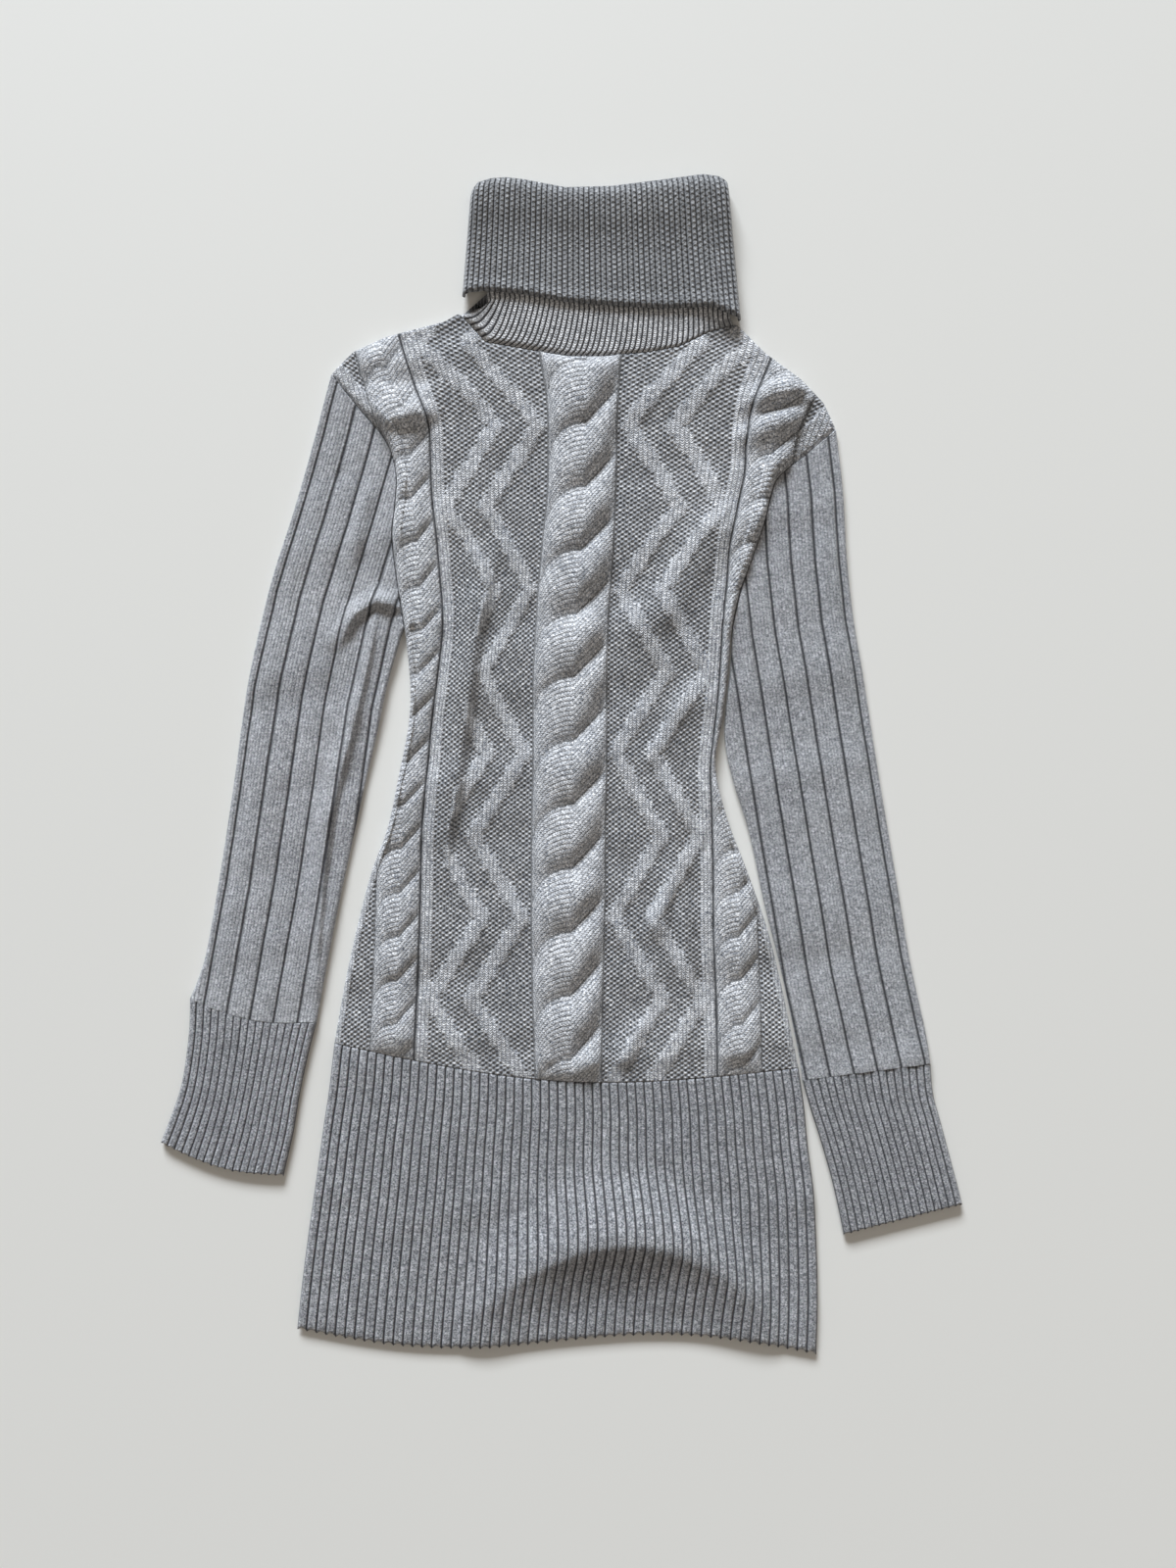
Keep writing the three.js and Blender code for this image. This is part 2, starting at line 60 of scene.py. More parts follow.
table = bpy.data.meshes.new("table_top")
table.from_pydata([(x * TABLE_HALF * MM, y * TABLE_HALF * MM, 0) for x, y in
                   ((-1, -1), (1, -1), (1, 1), (-1, 1))], [], [(0, 1, 2, 3)])
table_top = bpy.data.objects.new("table_top", table)
bpy.context.scene.collection.objects.link(table_top)
table_paint = bpy.data.materials.new("table_paint")
table_paint.use_nodes = True
table_shader = table_paint.node_tree.nodes["Principled BSDF"]
table_shader.inputs["Base Color"].default_value = TABLE_COLOUR
table_shader.inputs["Roughness"].default_value = 0.7
table.materials.append(table_paint)

eye = bpy.data.cameras.new("eye")
eye.lens = LENS_MM
eye.sensor_width = FILM_MM
eye_object = bpy.data.objects.new("eye", eye)
eye_object.location = Vector(EYE_MM) * MM
bpy.context.scene.collection.objects.link(eye_object)
bpy.context.scene.camera = eye_object
bpy.context.scene.view_settings.view_transform = "Standard"


def window(name, place, width, height, power, colour):
    """A rectangular light at place, in metres, turned to face the garment's middle."""
    light = bpy.data.lights.new(name, "AREA")
    light.shape = "RECTANGLE"
    light.size, light.size_y = width, height
    light.energy, light.color = power, colour
    lamp = bpy.data.objects.new(name, light)
    lamp.location = place
    lamp.rotation_euler = (-Vector(place)).to_track_quat("-Z", "Y").to_euler()
    bpy.context.scene.collection.objects.link(lamp)


window("window", *WINDOW_LIGHT)
window("room", *ROOM_LIGHT)
room = bpy.data.worlds.new("room")
room.use_nodes = True
room.node_tree.nodes["Background"].inputs["Color"].default_value = ROOM_COLOUR
room.node_tree.nodes["Background"].inputs["Strength"].default_value = ROOM_STRENGTH
bpy.context.scene.world = room


# ---- Front panel ----
# A fully fashioned panel of fine wool knit: reverse stockinette with a centre rope cable, two zigzags
# on each side of it, rib lines, a rope cable down each side and moss stitch at the sides. It is
# knitted on to the hem rib, and linked to the back, the sleeves and the collar.

WALL = 2.2  # one layer of knit
THINNEST = 0.2  # its thickness where an edge rolls into a seam
GAP = 0.3  # between layers that lie on each other
SEAM_GAP = 0.4
FRONT_UNDER = WALL + GAP
MIDDLE = WALL + GAP / 2
WALE = 2.35  # width of a stitch
COURSE = 1.75  # height of a stitch
STITCH_DEEP, GROOVE_DEEP = 1.2, 1.2  # a stitch's relief in millimetres, and a groove's in stitches

# Body outline and lines, from the shoulder tips down to the hem join.
RIGHT_X, RIGHT_Y, RIB_RIGHT, ROPE_RIGHT, ROPE_LEFT, RIB_LEFT, LEFT_X, LEFT_Y = range(8)
BODY_SECTIONS = np.array([
    (-167, 283, -114, -15, 42, 148, 199, 243),
    (-147, 258, -104, -10, 40, 135, 178, 225),
    (-127, 234, -93, -9, 39, 130, 158, 209),
    (-120, 210, -91, -9, 39, 129, 152, 195),
    (-121, 187, -90, -10, 38, 124, 147, 175),
    (-123, 164, -87, -13, 37, 118, 138, 149),
    (-119, 130, -84, -16, 35, 116, 130, 126),
    (-114, 99, -82, -18, 33, 113, 124, 100),
    (-110, 59, -86, -20, 32, 111, 121, 67),
    (-111, 30, -90, -20, 32, 108, 117, 33),
    (-117, -2, -93, -20, 32, 104, 112, -1),
    (-126, -45, -97, -21, 31, 105, 120, -38),
    (-138, -78, -98, -21, 31, 106, 135, -78),
    (-149, -120, -99, -21, 30, 106, 149, -118),
    (-158, -162, -101, -20, 29, 108, 160, -162),
    (-165, -202, -103, -18, 28, 109, 172, -220),
], float)
BODY_LAST = len(BODY_SECTIONS) - 1
UNDERARM_ROW = 7
# Top edge: x, then the height of the front's and of the back's edge there.
TOP_EDGE = np.array([
    (-167, 283, 283), (-151, 299, 299), (-127, 310, 310), (-85, 321, 321), (-74.4, 327, 327),
    (-55, 306, 320), (-20, 300, 317), (5, 296, 316), (30, 296, 316), (64, 299, 316),
    (85, 303, 317), (106, 313, 318), (126.8, 319, 319), (148, 298, 298), (174, 279, 279),
    (190, 262, 262), (199, 243, 243),
], float)
TOP_FADE = 0.72  # share of the top edge's curve that is left after each section
JOIN_FADE, TOP_SEAM_FADE = 16, 7  # the relief rises over these lengths from the panel's ends
JOIN_SAG = 19  # how far the hem join's middle hangs below its ends
EDGE_FADE = 14  # a fold rises over this length from the panel's side edges
SIDE_ROLL = 4.5  # width over which a panel's side rolls down to its seam

# Cables: height of the crown, length from one crease to the next, and where one of them starts
ROPE_HIGH, ROPE_PITCH, ROPE_CREASE = 9.0, 46.0, 271.9
SIDE_ROPE_HIGH, SIDE_ROPE_PITCH, SIDE_ROPE_CREASE = 5.6, 31.7, 83.0
SIDE_ROPE_NEAR, SIDE_ROPE_HALF = 4.0, 16.0
ROPE_TURN = 0.1  # where a crease turns from straight to bowed, from -1 to 1 across the rope
STRAIGHT_RISE, BOW_RISE = 0.54, 0.6  # in pitches
# For the centre and the side ropes: stitches in a strand, how flat its crown is, and the depth of the
# creases between strands at the rope's right and left edge.
ROPE_STRANDS = 13, 2.0, (0.35, 0.95)
SIDE_ROPE_STRANDS = 9, 3.2, (0.25, 0.6)
ROPE_WALES, RIB_WALES = 11, 38  # wales from the panel's middle to the rope edge and the rib line
RIB_GROOVE = 1.7  # wales from a rib line to the groove outside it
RIB_LINE_HALF, RIB_LINE_HIGH = 1.6, 0.8
ZIGZAG_PITCH, ZIGZAG_TURN = 118.6, 245.0  # length of a whole wave, and where one turns
ZIGZAGS = ((0.10, 0.56), (0.47, 0.93))  # swing between rope edge (0) and rib line (1)
ZIGZAG_HALF, ZIGZAG_HIGH = 0.075, 1.2  # half the band's width on that scale, and its height

# Folds: the line of each, widths to the left and right of one who walks along it, and height. A narrow
# side falls steeply, as where a pleat lies over the cloth beside it.
FRONT_FOLDS = [
    {"line": [(-44, 168), (-54, 131), (-62, 97), (-65, 70), (-69, 41), (-73, 12), (-77, -21), (-83, -52),
              (-87, -92)],
     "left": 8.0, "right": 24, "high": 6.6},
    {"line": [(-160, 238), (-138, 246), (-118, 250), (-84, 258)], "left": 22, "right": 12, "high": 6.4},
    {"line": [(-170, 268), (-140, 276), (-104, 277), (-84, 284)], "left": 18, "right": 8, "high": -2.8},
    {"line": [(122, 256), (150, 268), (190, 272)], "left": 14, "right": 13, "high": 5.0},
    {"line": [(120, 232), (150, 245), (182, 254)], "left": 12, "right": 16, "high": 4.4},
    {"line": [(122, 192), (104, 158), (86, 132), (60, 100), (50, 76)], "left": 26, "right": 28, "high": 5.8},
    {"line": [(98, 68), (80, 32), (60, -4)], "left": 26, "right": 9, "high": 3.4},
    {"line": [(92, -50), (78, -92), (60, -130)], "left": 16, "right": 9, "high": 4.0},
    {"line": [(74, 20), (80, -26), (84, -78), (91, -134), (95, -190)], "left": 13, "right": 10, "high": 3.8},
    {"line": [(64, -180), (52, -198), (42, -222)], "left": 9, "right": 14, "high": 3.2},
    {"line": [(-60, -110), (-70, -150), (-76, -190)], "left": 16, "right": 16, "high": 1.6},
    {"line": [(-40, 250), (-56, 210), (-60, 180)], "left": 15, "right": 14, "high": 1.6},
]
RELIEF_LOWEST = -1.2  # a hollow this deep still has cloth under it
SELVEDGE_WIDE, SELVEDGE_WIDE_AT_ARMHOLE = 4.5, 8.0
SELVEDGE_KNOB = 3.8  # length of one knob of the side edges' chain stitches
SELVEDGE_HIGH, KNOB_HIGH, MOSS_HIGH = 0.7, 0.9, 0.9
ROPE_EDGE_HIGH, ROPE_EDGE_WIDE = 1.2, 1.5  # the raised wale along each edge of the centre rope
SWELL_LENGTHS, SWELL_SLOPE, SWELL_SEED = (23, 31, 37, 48, 59, 74, 96), 0.006, 7
FRONT_ROWS, FRONT_UNDER_POINTS = 300, 44
FRONT_PLACES = 62, 54, 44  # points across a side, the ground between rib line and rope, and the rope


def smooth_rows(table, row):
    """Values of a table's columns at fractional rows, on the Catmull-Rom curve through its rows."""
    low = np.clip(np.floor(row).astype(int), 0, len(table) - 2)
    t = (row - low)[..., None]
    before, here, there, after = (table[np.clip(low + k, 0, len(table) - 1)] for k in (-1, 0, 1, 2))
    rise = (there - before) * t
    bend = (2 * before - 5 * here + 4 * there - after) * t**2
    turn = (3 * here - before - 3 * there + after) * t**3
    return here + (rise + bend + turn) / 2


def body_xy(row, place, layer):
    """x and y of the body. row runs down its sections, and place across it: 0 right edge, 1 rib line,
    2 and 3 rope edges, 4 rib line, 5 left edge. Each section is a straight line, bent up to the top
    edge (fading by TOP_FADE a row) and down to the join (a half sine wave, growing as row cubed)."""
    section = smooth_rows(BODY_SECTIONS, row)
    order = [RIGHT_X, RIB_RIGHT, ROPE_RIGHT, ROPE_LEFT, RIB_LEFT, LEFT_X]
    block = np.minimum(place.astype(int), len(order) - 2)
    share = place - block

    def between(lines):
        return lines[..., block] * (1 - share) + lines[..., block + 1] * share

    def straight(part, x):
        slope = (part[..., LEFT_Y] - part[..., RIGHT_Y]) / (part[..., LEFT_X] - part[..., RIGHT_X])
        return part[..., RIGHT_Y, None] + slope[..., None] * (x - part[..., RIGHT_X, None])

    x = between(section[:, order])
    first = BODY_SECTIONS[:1]
    top_x = between(first[:, order])
    bow = np.interp(top_x, TOP_EDGE[:, 0], TOP_EDGE[:, layer]) - straight(first, top_x)
    width = (section[:, LEFT_X] - section[:, RIGHT_X])[:, None]
    across = np.clip((x - section[:, [RIGHT_X]]) / width, 0, 1)
    sag = -JOIN_SAG * np.sin(np.pi * across) * (row[:, None] / BODY_LAST) ** 3
    return x, straight(section, x) + bow * TOP_FADE ** row[:, None] + sag


def fold_relief(folds, x, y):
    """Height of the folds: a cos squared ridge round each line, with its own width on each side of the
    line, fading to nothing towards both ends. Ridges join by the higher, troughs add."""
    ridge, trough = np.zeros_like(x), np.zeros_like(x)
    for fold in folds:
        line = np.array(fold["line"], float)
        lengths = np.hypot(*np.diff(line, axis=0).T)
        gone = np.concatenate([[0], np.cumsum(lengths)])
        nearest, side, along = np.full_like(x, np.inf), np.zeros_like(x), np.zeros_like(x)
        for i, length in enumerate(lengths):
            dx, dy = (line[i + 1] - line[i]) / length
            t = np.clip((x - line[i, 0]) * dx + (y - line[i, 1]) * dy, 0, length)
            ox, oy = x - line[i, 0] - t * dx, y - line[i, 1] - t * dy
            away = np.hypot(ox, oy)
            closer = away < nearest
            nearest = np.where(closer, away, nearest)
            side = np.where(closer, dx * oy - dy * ox, side)
            along = np.where(closer, (gone[i] + t) / gone[-1], along)
        width = np.where(side > 0, fold["left"], fold["right"])
        shape = np.cos(np.clip(nearest / width, 0, 1) * np.pi / 2) ** 2
        shape *= np.sin(np.clip(np.minimum(along, 1 - along) * 2.6, 0, 1) * np.pi / 2)
        if fold["high"] > 0:
            ridge = np.maximum(ridge, fold["high"] * shape)
        else:
            trough += fold["high"] * shape
    return ridge + trough


def uneven(x, y):
    """Gentle swells of cloth that was smoothed by hand: a sum of sine waves that run different ways."""
    random = np.random.default_rng(SWELL_SEED)
    high = np.zeros(np.broadcast(x, y).shape)
    for length in SWELL_LENGTHS:
        way, start = random.uniform(0, 2 * np.pi, 2)
        high += length * np.sin((x * np.cos(way) + y * np.sin(way)) * 2 * np.pi / length + start)
    return high * SWELL_SLOPE


def rope(across, half, up, pitch, crease, strand_wales, flat, depths):
    """Height (0 to 1), wale and course place of a two-strand rope cable. across is -1 to 1 over its
    width, and half is its half width. From the rope's left edge the line between two strands runs
    straight down to ROPE_TURN, and from there it bows down to the right edge as a quarter circle. Each
    strand is round between two such lines. depths are those of the lines at the right and the left
    edge, and a bigger flat makes broader strands with narrower creases."""
    straight = np.clip((across - ROPE_TURN) / (1 - ROPE_TURN), 0, 1) - 1
    bow = np.clip((ROPE_TURN - across) / (1 + ROPE_TURN), 0, 0.99)
    rise = STRAIGHT_RISE * straight - BOW_RISE * (1 - np.sqrt(1 - bow**2))
    within = np.mod((up - crease) / pitch - rise, 1)
    arch = 1 - np.abs(2 * within - 1) ** flat
    depth = depths[0] + (depths[1] - depths[0]) * np.clip(across * 0.7 + 0.5, 0, 1)
    high = np.clip(1 - np.abs(across) ** 3, 0, 1) ** 0.5 * (1 - depth * (1 - arch))
    return high, within * strand_wales, (up + across * half) / COURSE / np.sqrt(2)


def zigzag(share, up):
    """Mask and height, 0 to 1, of the two zigzag bands of a side: triangle waves between rope edge and
    rib line. The mask's edges are stepped by one stitch, and the height has soft edges."""
    stitches = RIB_WALES - ROPE_WALES
    mask, high = np.zeros_like(share), np.zeros_like(share)

    def away(share, up, near, far):
        wave = 1 - np.abs(2 * np.mod((up - ZIGZAG_TURN) / ZIGZAG_PITCH, 1) - 1)
        return np.abs(share - near - (far - near) * wave)

    for near, far in ZIGZAGS:
        step = away(np.round(share * stitches) / stitches, np.round(up / COURSE / 2) * 2 * COURSE, near, far)
        mask = np.maximum(mask, step < ZIGZAG_HALF)
        soft = np.clip(1.6 - away(share, up, near, far) / ZIGZAG_HALF, 0, 1)
        high = np.maximum(high, soft * soft * (3 - 2 * soft))
    return mask, high


def side_roll(away, width=SIDE_ROLL):
    """Share of full height near an edge: a quarter circle over the width of the roll."""
    return np.sqrt(np.clip(1 - (1 - np.clip(away / width, 0, 1)) ** 2, 0.0, 1))


def end_faces(columns, under):
    """Triangles that close the end of a panel's ring, whose last under columns run back below the
    others: a fan from each lower point to the upper edges nearest to it, and one between two fans."""
    over = columns - under
    nearest = np.round(np.linspace(under - 1, 0, over - 1)).astype(int) + over
    fans = [[i, i + 1, int(low)] for i, low in enumerate(nearest)]
    steps = [[i + 1, int(nearest[i + 1]), int(nearest[i])] for i in np.flatnonzero(np.diff(nearest))]
    return fans + steps


def knit_piece(name, points, closed_rows, under=0, **fields):
    """A mesh of rings: points is rows x columns x 3 in millimetres, and each row is a closed ring. The
    rows close on themselves too, or else each end is closed between its upper columns and the under
    ones that run back below them. fields are rows x columns."""
    rows, columns = points.shape[:2]
    index = np.arange(rows * columns).reshape(rows, columns)
    after = np.roll(index, -1, axis=1)
    low = index if closed_rows else index[:-1]
    low_after = after if closed_rows else after[:-1]
    high = np.roll(index, -1, axis=0)[:len(low)]
    high_after = np.roll(after, -1, axis=0)[:len(low)]
    quads = np.stack([low, low_after, high_after, high], axis=-1).reshape(-1, 4)
    flat = points.reshape(-1, 3) * MM
    corners = flat[quads]
    normals = np.cross(corners[:, 2] - corners[:, 0], corners[:, 3] - corners[:, 1])
    inward = np.sum(normals * corners.mean(1)) < 0
    faces = quads[:, ::-1].tolist() if inward else quads.tolist()
    if not closed_rows:
        ends = end_faces(columns, under)
        first = [face[::-1] for face in ends]
        last = [[k + (rows - 1) * columns for k in face] for face in ends]
        faces += [face[::-1] for face in first + last] if inward else first + last
    mesh = bpy.data.meshes.new(name)
    mesh.from_pydata(flat.tolist(), [], faces)
    mesh.polygons.foreach_set("use_smooth", np.ones(len(faces), bool))
    for field, values in fields.items():
        attribute = mesh.attributes.new(field, "FLOAT", "POINT")
        attribute.data.foreach_set("value", np.ascontiguousarray(values, np.float32).ravel())
    piece = bpy.data.objects.new(name, mesh)
    bpy.context.scene.collection.objects.link(piece)
    return piece


def add(tree, kind, feeds=None, **settings):
    """A new node of a kind: settings are its properties, and feeds its inputs, sockets or values."""
    node = tree.nodes.new(kind)
    for key, value in settings.items():
        setattr(node, key, value)
    for key, value in (feeds or {}).items():
        if isinstance(value, bpy.types.NodeSocket):
            tree.links.new(value, node.inputs[key])
        else:
            node.inputs[key].default_value = value
    return node


def maths(tree, operation, a, b=0.0, c=0.0):
    """The value of one Math node."""
    return add(tree, "ShaderNodeMath", {0: a, 1: b, 2: c}, operation=operation).outputs[0]


def mixed(tree, share, a, b, blend="MIX"):
    """The colour of one Mix node, whose colour inputs are its seventh and eighth."""
    feeds = {0: share, 6: a, 7: b}
    return add(tree, "ShaderNodeMix", feeds, data_type="RGBA", blend_type=blend).outputs[2]


def new_group(name, inputs, outputs):
    """A shader node group with named inputs (name, socket kind, value) and outputs (name, kind)."""
    group = bpy.data.node_groups.new(name, "ShaderNodeTree")
    for label, kind, value in inputs:
        socket = group.interface.new_socket(label, in_out="INPUT", socket_type=kind)
        socket.default_value = value
    for label, kind in outputs:
        group.interface.new_socket(label, in_out="OUTPUT", socket_type=kind)
    return group, group.nodes.new("NodeGroupInput"), group.nodes.new("NodeGroupOutput")


def stitch_group():
    """Height of the stitches, 0 to 1, and a tone of its own, 0 to 1, for each stitch. A knit stitch is a
    V of two legs, purl ground a fine chequer of low bumps, and moss stitch a chequer of bumps two
    stitches apart."""
    number = "NodeSocketFloat"
    group, given, out = new_group(
        "stitches",
        [("Wale", number, 0), ("Course", number, 0), ("Purl", number, 0), ("Moss", number, 0)],
        [("Height", number), ("Tone", number)],
    )
    place = add(group, "ShaderNodeTexCoord").outputs["Object"]
    wander = add(group, "ShaderNodeTexNoise", {"Vector": place, "Scale": 260.0, "Detail": 1.0})
    shift = maths(group, "MULTIPLY_ADD", wander.outputs["Fac"], 0.24, -0.12)
    wale = maths(group, "ADD", given.outputs["Wale"], shift)
    course = maths(group, "ADD", given.outputs["Course"], shift)
    turn = 2 * np.pi
    side = maths(group, "MULTIPLY", maths(group, "ABSOLUTE", maths(
        group, "SUBTRACT", maths(group, "FRACT", wale), 0.5)), 2.0)
    leg = maths(group, "SUBTRACT", 1.0, maths(group, "POWER", side, 2.5))
    slant = maths(group, "MULTIPLY_ADD", side, -0.8, course)
    loop = maths(group, "MULTIPLY_ADD", maths(
        group, "COSINE", maths(group, "MULTIPLY", slant, turn)), 0.3, 0.7)
    knit = maths(group, "MULTIPLY_ADD", maths(group, "MULTIPLY", leg, loop), 0.55, 0.38)

    def chequer(step, sharp, deep):
        """Bumps in turn along wales and courses: cosine times cosine, deep round 0.5, to the power sharp."""
        a = maths(group, "COSINE", maths(group, "MULTIPLY", wale, step))
        b = maths(group, "COSINE", maths(group, "MULTIPLY", course, turn / 2))
        both = maths(group, "MULTIPLY", a, b)
        return maths(group, "POWER", maths(group, "MULTIPLY_ADD", both, deep, 0.5), sharp)

    purl = chequer(turn * 0.6, 1.0, 0.42)
    moss = chequer(turn / 2, 0.8, 0.5)

    def between(share, a, b):
        return add(group, "ShaderNodeMix", {0: share, 2: a, 3: b}).outputs[0]

    height = between(given.outputs["Moss"], between(given.outputs["Purl"], knit, purl), moss)
    group.links.new(height, out.inputs["Height"])
    stitch = {0: maths(group, "FLOOR", wale), 1: maths(group, "FLOOR", course)}
    cell = add(group, "ShaderNodeCombineXYZ", stitch)
    chance = add(group, "ShaderNodeTexWhiteNoise", {"Vector": cell.outputs[0]}, noise_dimensions="2D")
    group.links.new(chance.outputs["Value"], out.inputs["Tone"])
    return group


def heather_group():
    """Colour of a heather yarn: light and dark fibres mixed at the size of a stitch, and the cloth
    slightly uneven over a hand's width."""
    number, colour = "NodeSocketFloat", "NodeSocketColor"
    group, given, out = new_group(
        "heather",
        [("Dark", colour, (0, 0, 0, 1)), ("Light", colour, (1, 1, 1, 1)), ("Fleck", number, 1)],
        [("Colour", colour)],
    )
    place = add(group, "ShaderNodeTexCoord").outputs["Object"]
    fine = add(group, "ShaderNodeTexNoise",
               {"Vector": place, "Scale": 760.0, "Detail": 1.0, "Roughness": 0.6})
    broad = add(group, "ShaderNodeTexNoise", {"Vector": place, "Scale": 14.0, "Detail": 2.0})
    fleck = maths(group, "MULTIPLY_ADD", fine.outputs["Fac"], 3.0, -1.0)
    uneven = maths(group, "MULTIPLY_ADD", broad.outputs["Fac"], 0.30, -0.15)
    spread = maths(group, "MULTIPLY_ADD", maths(group, "SUBTRACT", fleck, 0.5), given.outputs["Fleck"], 0.5)
    share = add(group, "ShaderNodeClamp", {"Value": maths(group, "ADD", spread, uneven)}).outputs[0]
    group.links.new(mixed(group, share, given.outputs["Dark"], given.outputs["Light"]), out.inputs["Colour"])
    return group


def groove_group():
    """Mask of the narrow grooves beside ribs: 1 where Line is a whole number, 0 at Width from it."""
    number = "NodeSocketFloat"
    group, given, out = new_group(
        "grooves", [("Line", number, 0), ("Width", number, 0.1)], [("Mask", number)])
    line = given.outputs["Line"]
    away = maths(group, "ABSOLUTE", maths(group, "SUBTRACT", line, maths(group, "ROUND", line)))
    share = add(group, "ShaderNodeMapRange",
                {"Value": away, "From Min": 0.0, "From Max": given.outputs["Width"],
                 "To Min": 1.0, "To Max": 0.0},
                interpolation_type="SMOOTHSTEP").outputs[0]
    group.links.new(share, out.inputs["Mask"])
    return group


STITCHES, HEATHER, GROOVES = stitch_group(), heather_group(), groove_group()


def knit_material(name, dark, light, groove, groove_width, fleck, shade, crown_highlight=1.4, purl_shade=0.66):
    """A heather knit from dark to light, with painted light: its brightness runs from painted shade in a
    stitch's hollow to a painted highlight on its crown, times purl_shade, painted shade, on purl ground,
    and grooves are painted shade in a dark colour. Stitches and grooves bump the surface. A soft sheen
    stands for the wool's surface fibres."""
    material = bpy.data.materials.new(name)
    material.use_nodes = True
    tree = material.node_tree
    shader = tree.nodes["Principled BSDF"]
    field = {key: add(tree, "ShaderNodeAttribute", attribute_name=key).outputs["Fac"]
             for key in ("wale", "course", "line", "purl", "moss")}
    stitches = add(tree, "ShaderNodeGroup", node_tree=STITCHES)
    for socket, key in (("Wale", "wale"), ("Course", "course"), ("Purl", "purl"), ("Moss", "moss")):
        tree.links.new(field[key], stitches.inputs[socket])
    heather = add(tree, "ShaderNodeGroup", node_tree=HEATHER)
    heather.inputs["Dark"].default_value = (*dark, 1)
    heather.inputs["Light"].default_value = (*light, 1)
    heather.inputs["Fleck"].default_value = fleck
    grooves = add(tree, "ShaderNodeGroup", node_tree=GROOVES)
    tree.links.new(field["line"], grooves.inputs["Line"])
    grooves.inputs["Width"].default_value = groove_width
    height = stitches.outputs["Height"]
    # Painted light: stitch height paints shade into each stitch's hollow and a highlight on its crown.
    lit = maths(tree, "MULTIPLY_ADD", height, crown_highlight - shade, shade)
    tone = maths(tree, "MULTIPLY_ADD", stitches.outputs["Tone"], 0.7 * fleck, 1 - 0.35 * fleck)
    lit = maths(tree, "MULTIPLY", lit, tone)
    # Painted shade: purl ground is purl_shade times as bright as knit stitches of the same yarn.
    ground = maths(tree, "MULTIPLY_ADD", field["purl"], purl_shade - 1, 1.0)
    value = maths(tree, "MULTIPLY", lit, ground)
    grey = add(tree, "ShaderNodeCombineColor", {0: value, 1: value, 2: value}).outputs[0]
    cloth = mixed(tree, 1.0, heather.outputs["Colour"], grey, "MULTIPLY")
    # Painted shade in the grooves: the dark groove colour stands for the shade that falls in them.
    mask = maths(tree, "MULTIPLY", grooves.outputs["Mask"], 0.95)
    tree.links.new(mixed(tree, mask, cloth, (*groove, 1)), shader.inputs["Base Color"])
    hollow = maths(tree, "MULTIPLY_ADD", grooves.outputs["Mask"], -GROOVE_DEEP, height)
    bump = add(tree, "ShaderNodeBump", {"Strength": 1.0, "Distance": STITCH_DEEP * MM, "Height": hollow})
    tree.links.new(bump.outputs["Normal"], shader.inputs["Normal"])
    shader.inputs["Roughness"].default_value = 0.9
    shader.inputs["Specular IOR Level"].default_value = 0.2
    shader.inputs["Sheen Weight"].default_value = 0.25
    shader.inputs["Sheen Roughness"].default_value = 0.6
    return material


def finish_piece(piece, material, slot, *nodes):
    """The piece takes its material, rides on the garment and stands for its CAD nodes; slot is not used."""
    piece.data.materials.append(material)
    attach(piece, "root")
    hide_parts(*nodes)


def body_places(side, ground, rope_columns):
    """Places across the body from 0 to 5, closer together towards both side edges."""
    edge = np.linspace(0, 1, side, endpoint=False) ** 1.5
    inner = [start + np.linspace(0, 1, count, endpoint=False)
             for start, count in ((1, ground), (2, rope_columns), (3, ground))]
    return np.concatenate([edge, *inner, [4.0], 5 - edge[::-1]])


def even_rows(count):
    """Rows down the body at even heights, as fractions of its sections."""
    level = -(BODY_SECTIONS[:, RIGHT_Y] + BODY_SECTIONS[:, LEFT_Y]) / 2
    return np.interp(np.linspace(level[0], level[-1], count), level, np.arange(len(level)))


def line_of(wale, grooves):
    """A coordinate that is a whole number on each groove, and 0.25 more or less a wale away from it."""
    at = np.array([[groove - 1, groove, groove + 1] for groove in grooves]).ravel()
    value = np.array([[k - 0.25, k, k + 0.25] for k in range(len(grooves))]).ravel()
    return np.interp(wale, at, value, left=-0.5, right=len(grooves) - 0.5)


def closed_panel(over, under_z, count):
    """Rings round a panel laid flat: its upper side, then count points back along its underside, each
    as low as the underside gets between the points beside it, so that it never cuts through a hollow."""
    x, y, z = over
    pick = np.linspace(len(x[0]) - 1, 0, count).round().astype(int)
    ends = np.concatenate([pick[:1], pick, pick[-1:]])
    lowest = np.stack([under_z[:, ends[i + 2]:ends[i] + 1].min(axis=1) for i in range(count)], axis=1)
    under = np.stack([x[:, pick], y[:, pick], lowest], axis=-1)
    return np.concatenate([np.stack([x, y, z], axis=-1), under], axis=1), pick


front_row = even_rows(FRONT_ROWS)
front_place = body_places(*FRONT_PLACES)
x, y = body_xy(front_row, front_place, 1)
section = smooth_rows(BODY_SECTIONS, front_row)
from_edge = np.minimum(x - section[:, [RIGHT_X]], section[:, [LEFT_X]] - x)
rope_middle = (section[:, [ROPE_RIGHT]] + section[:, [ROPE_LEFT]]) / 2
rope_half = (section[:, [ROPE_LEFT]] - section[:, [ROPE_RIGHT]]) / 2
rope_high, rope_wale, rope_course = rope((x - rope_middle) / rope_half, rope_half, y, ROPE_PITCH,
                                         ROPE_CREASE, *ROPE_STRANDS)
on_rope = (front_place >= 2) & (front_place <= 3)
out_right, out_left = section[:, [RIB_RIGHT]] - x, x - section[:, [RIB_LEFT]]
outward = np.maximum(out_right, out_left)
side_out = (outward - SIDE_ROPE_NEAR - SIDE_ROPE_HALF) / SIDE_ROPE_HALF
side_across = np.where(out_right > out_left, -1, 1) * side_out
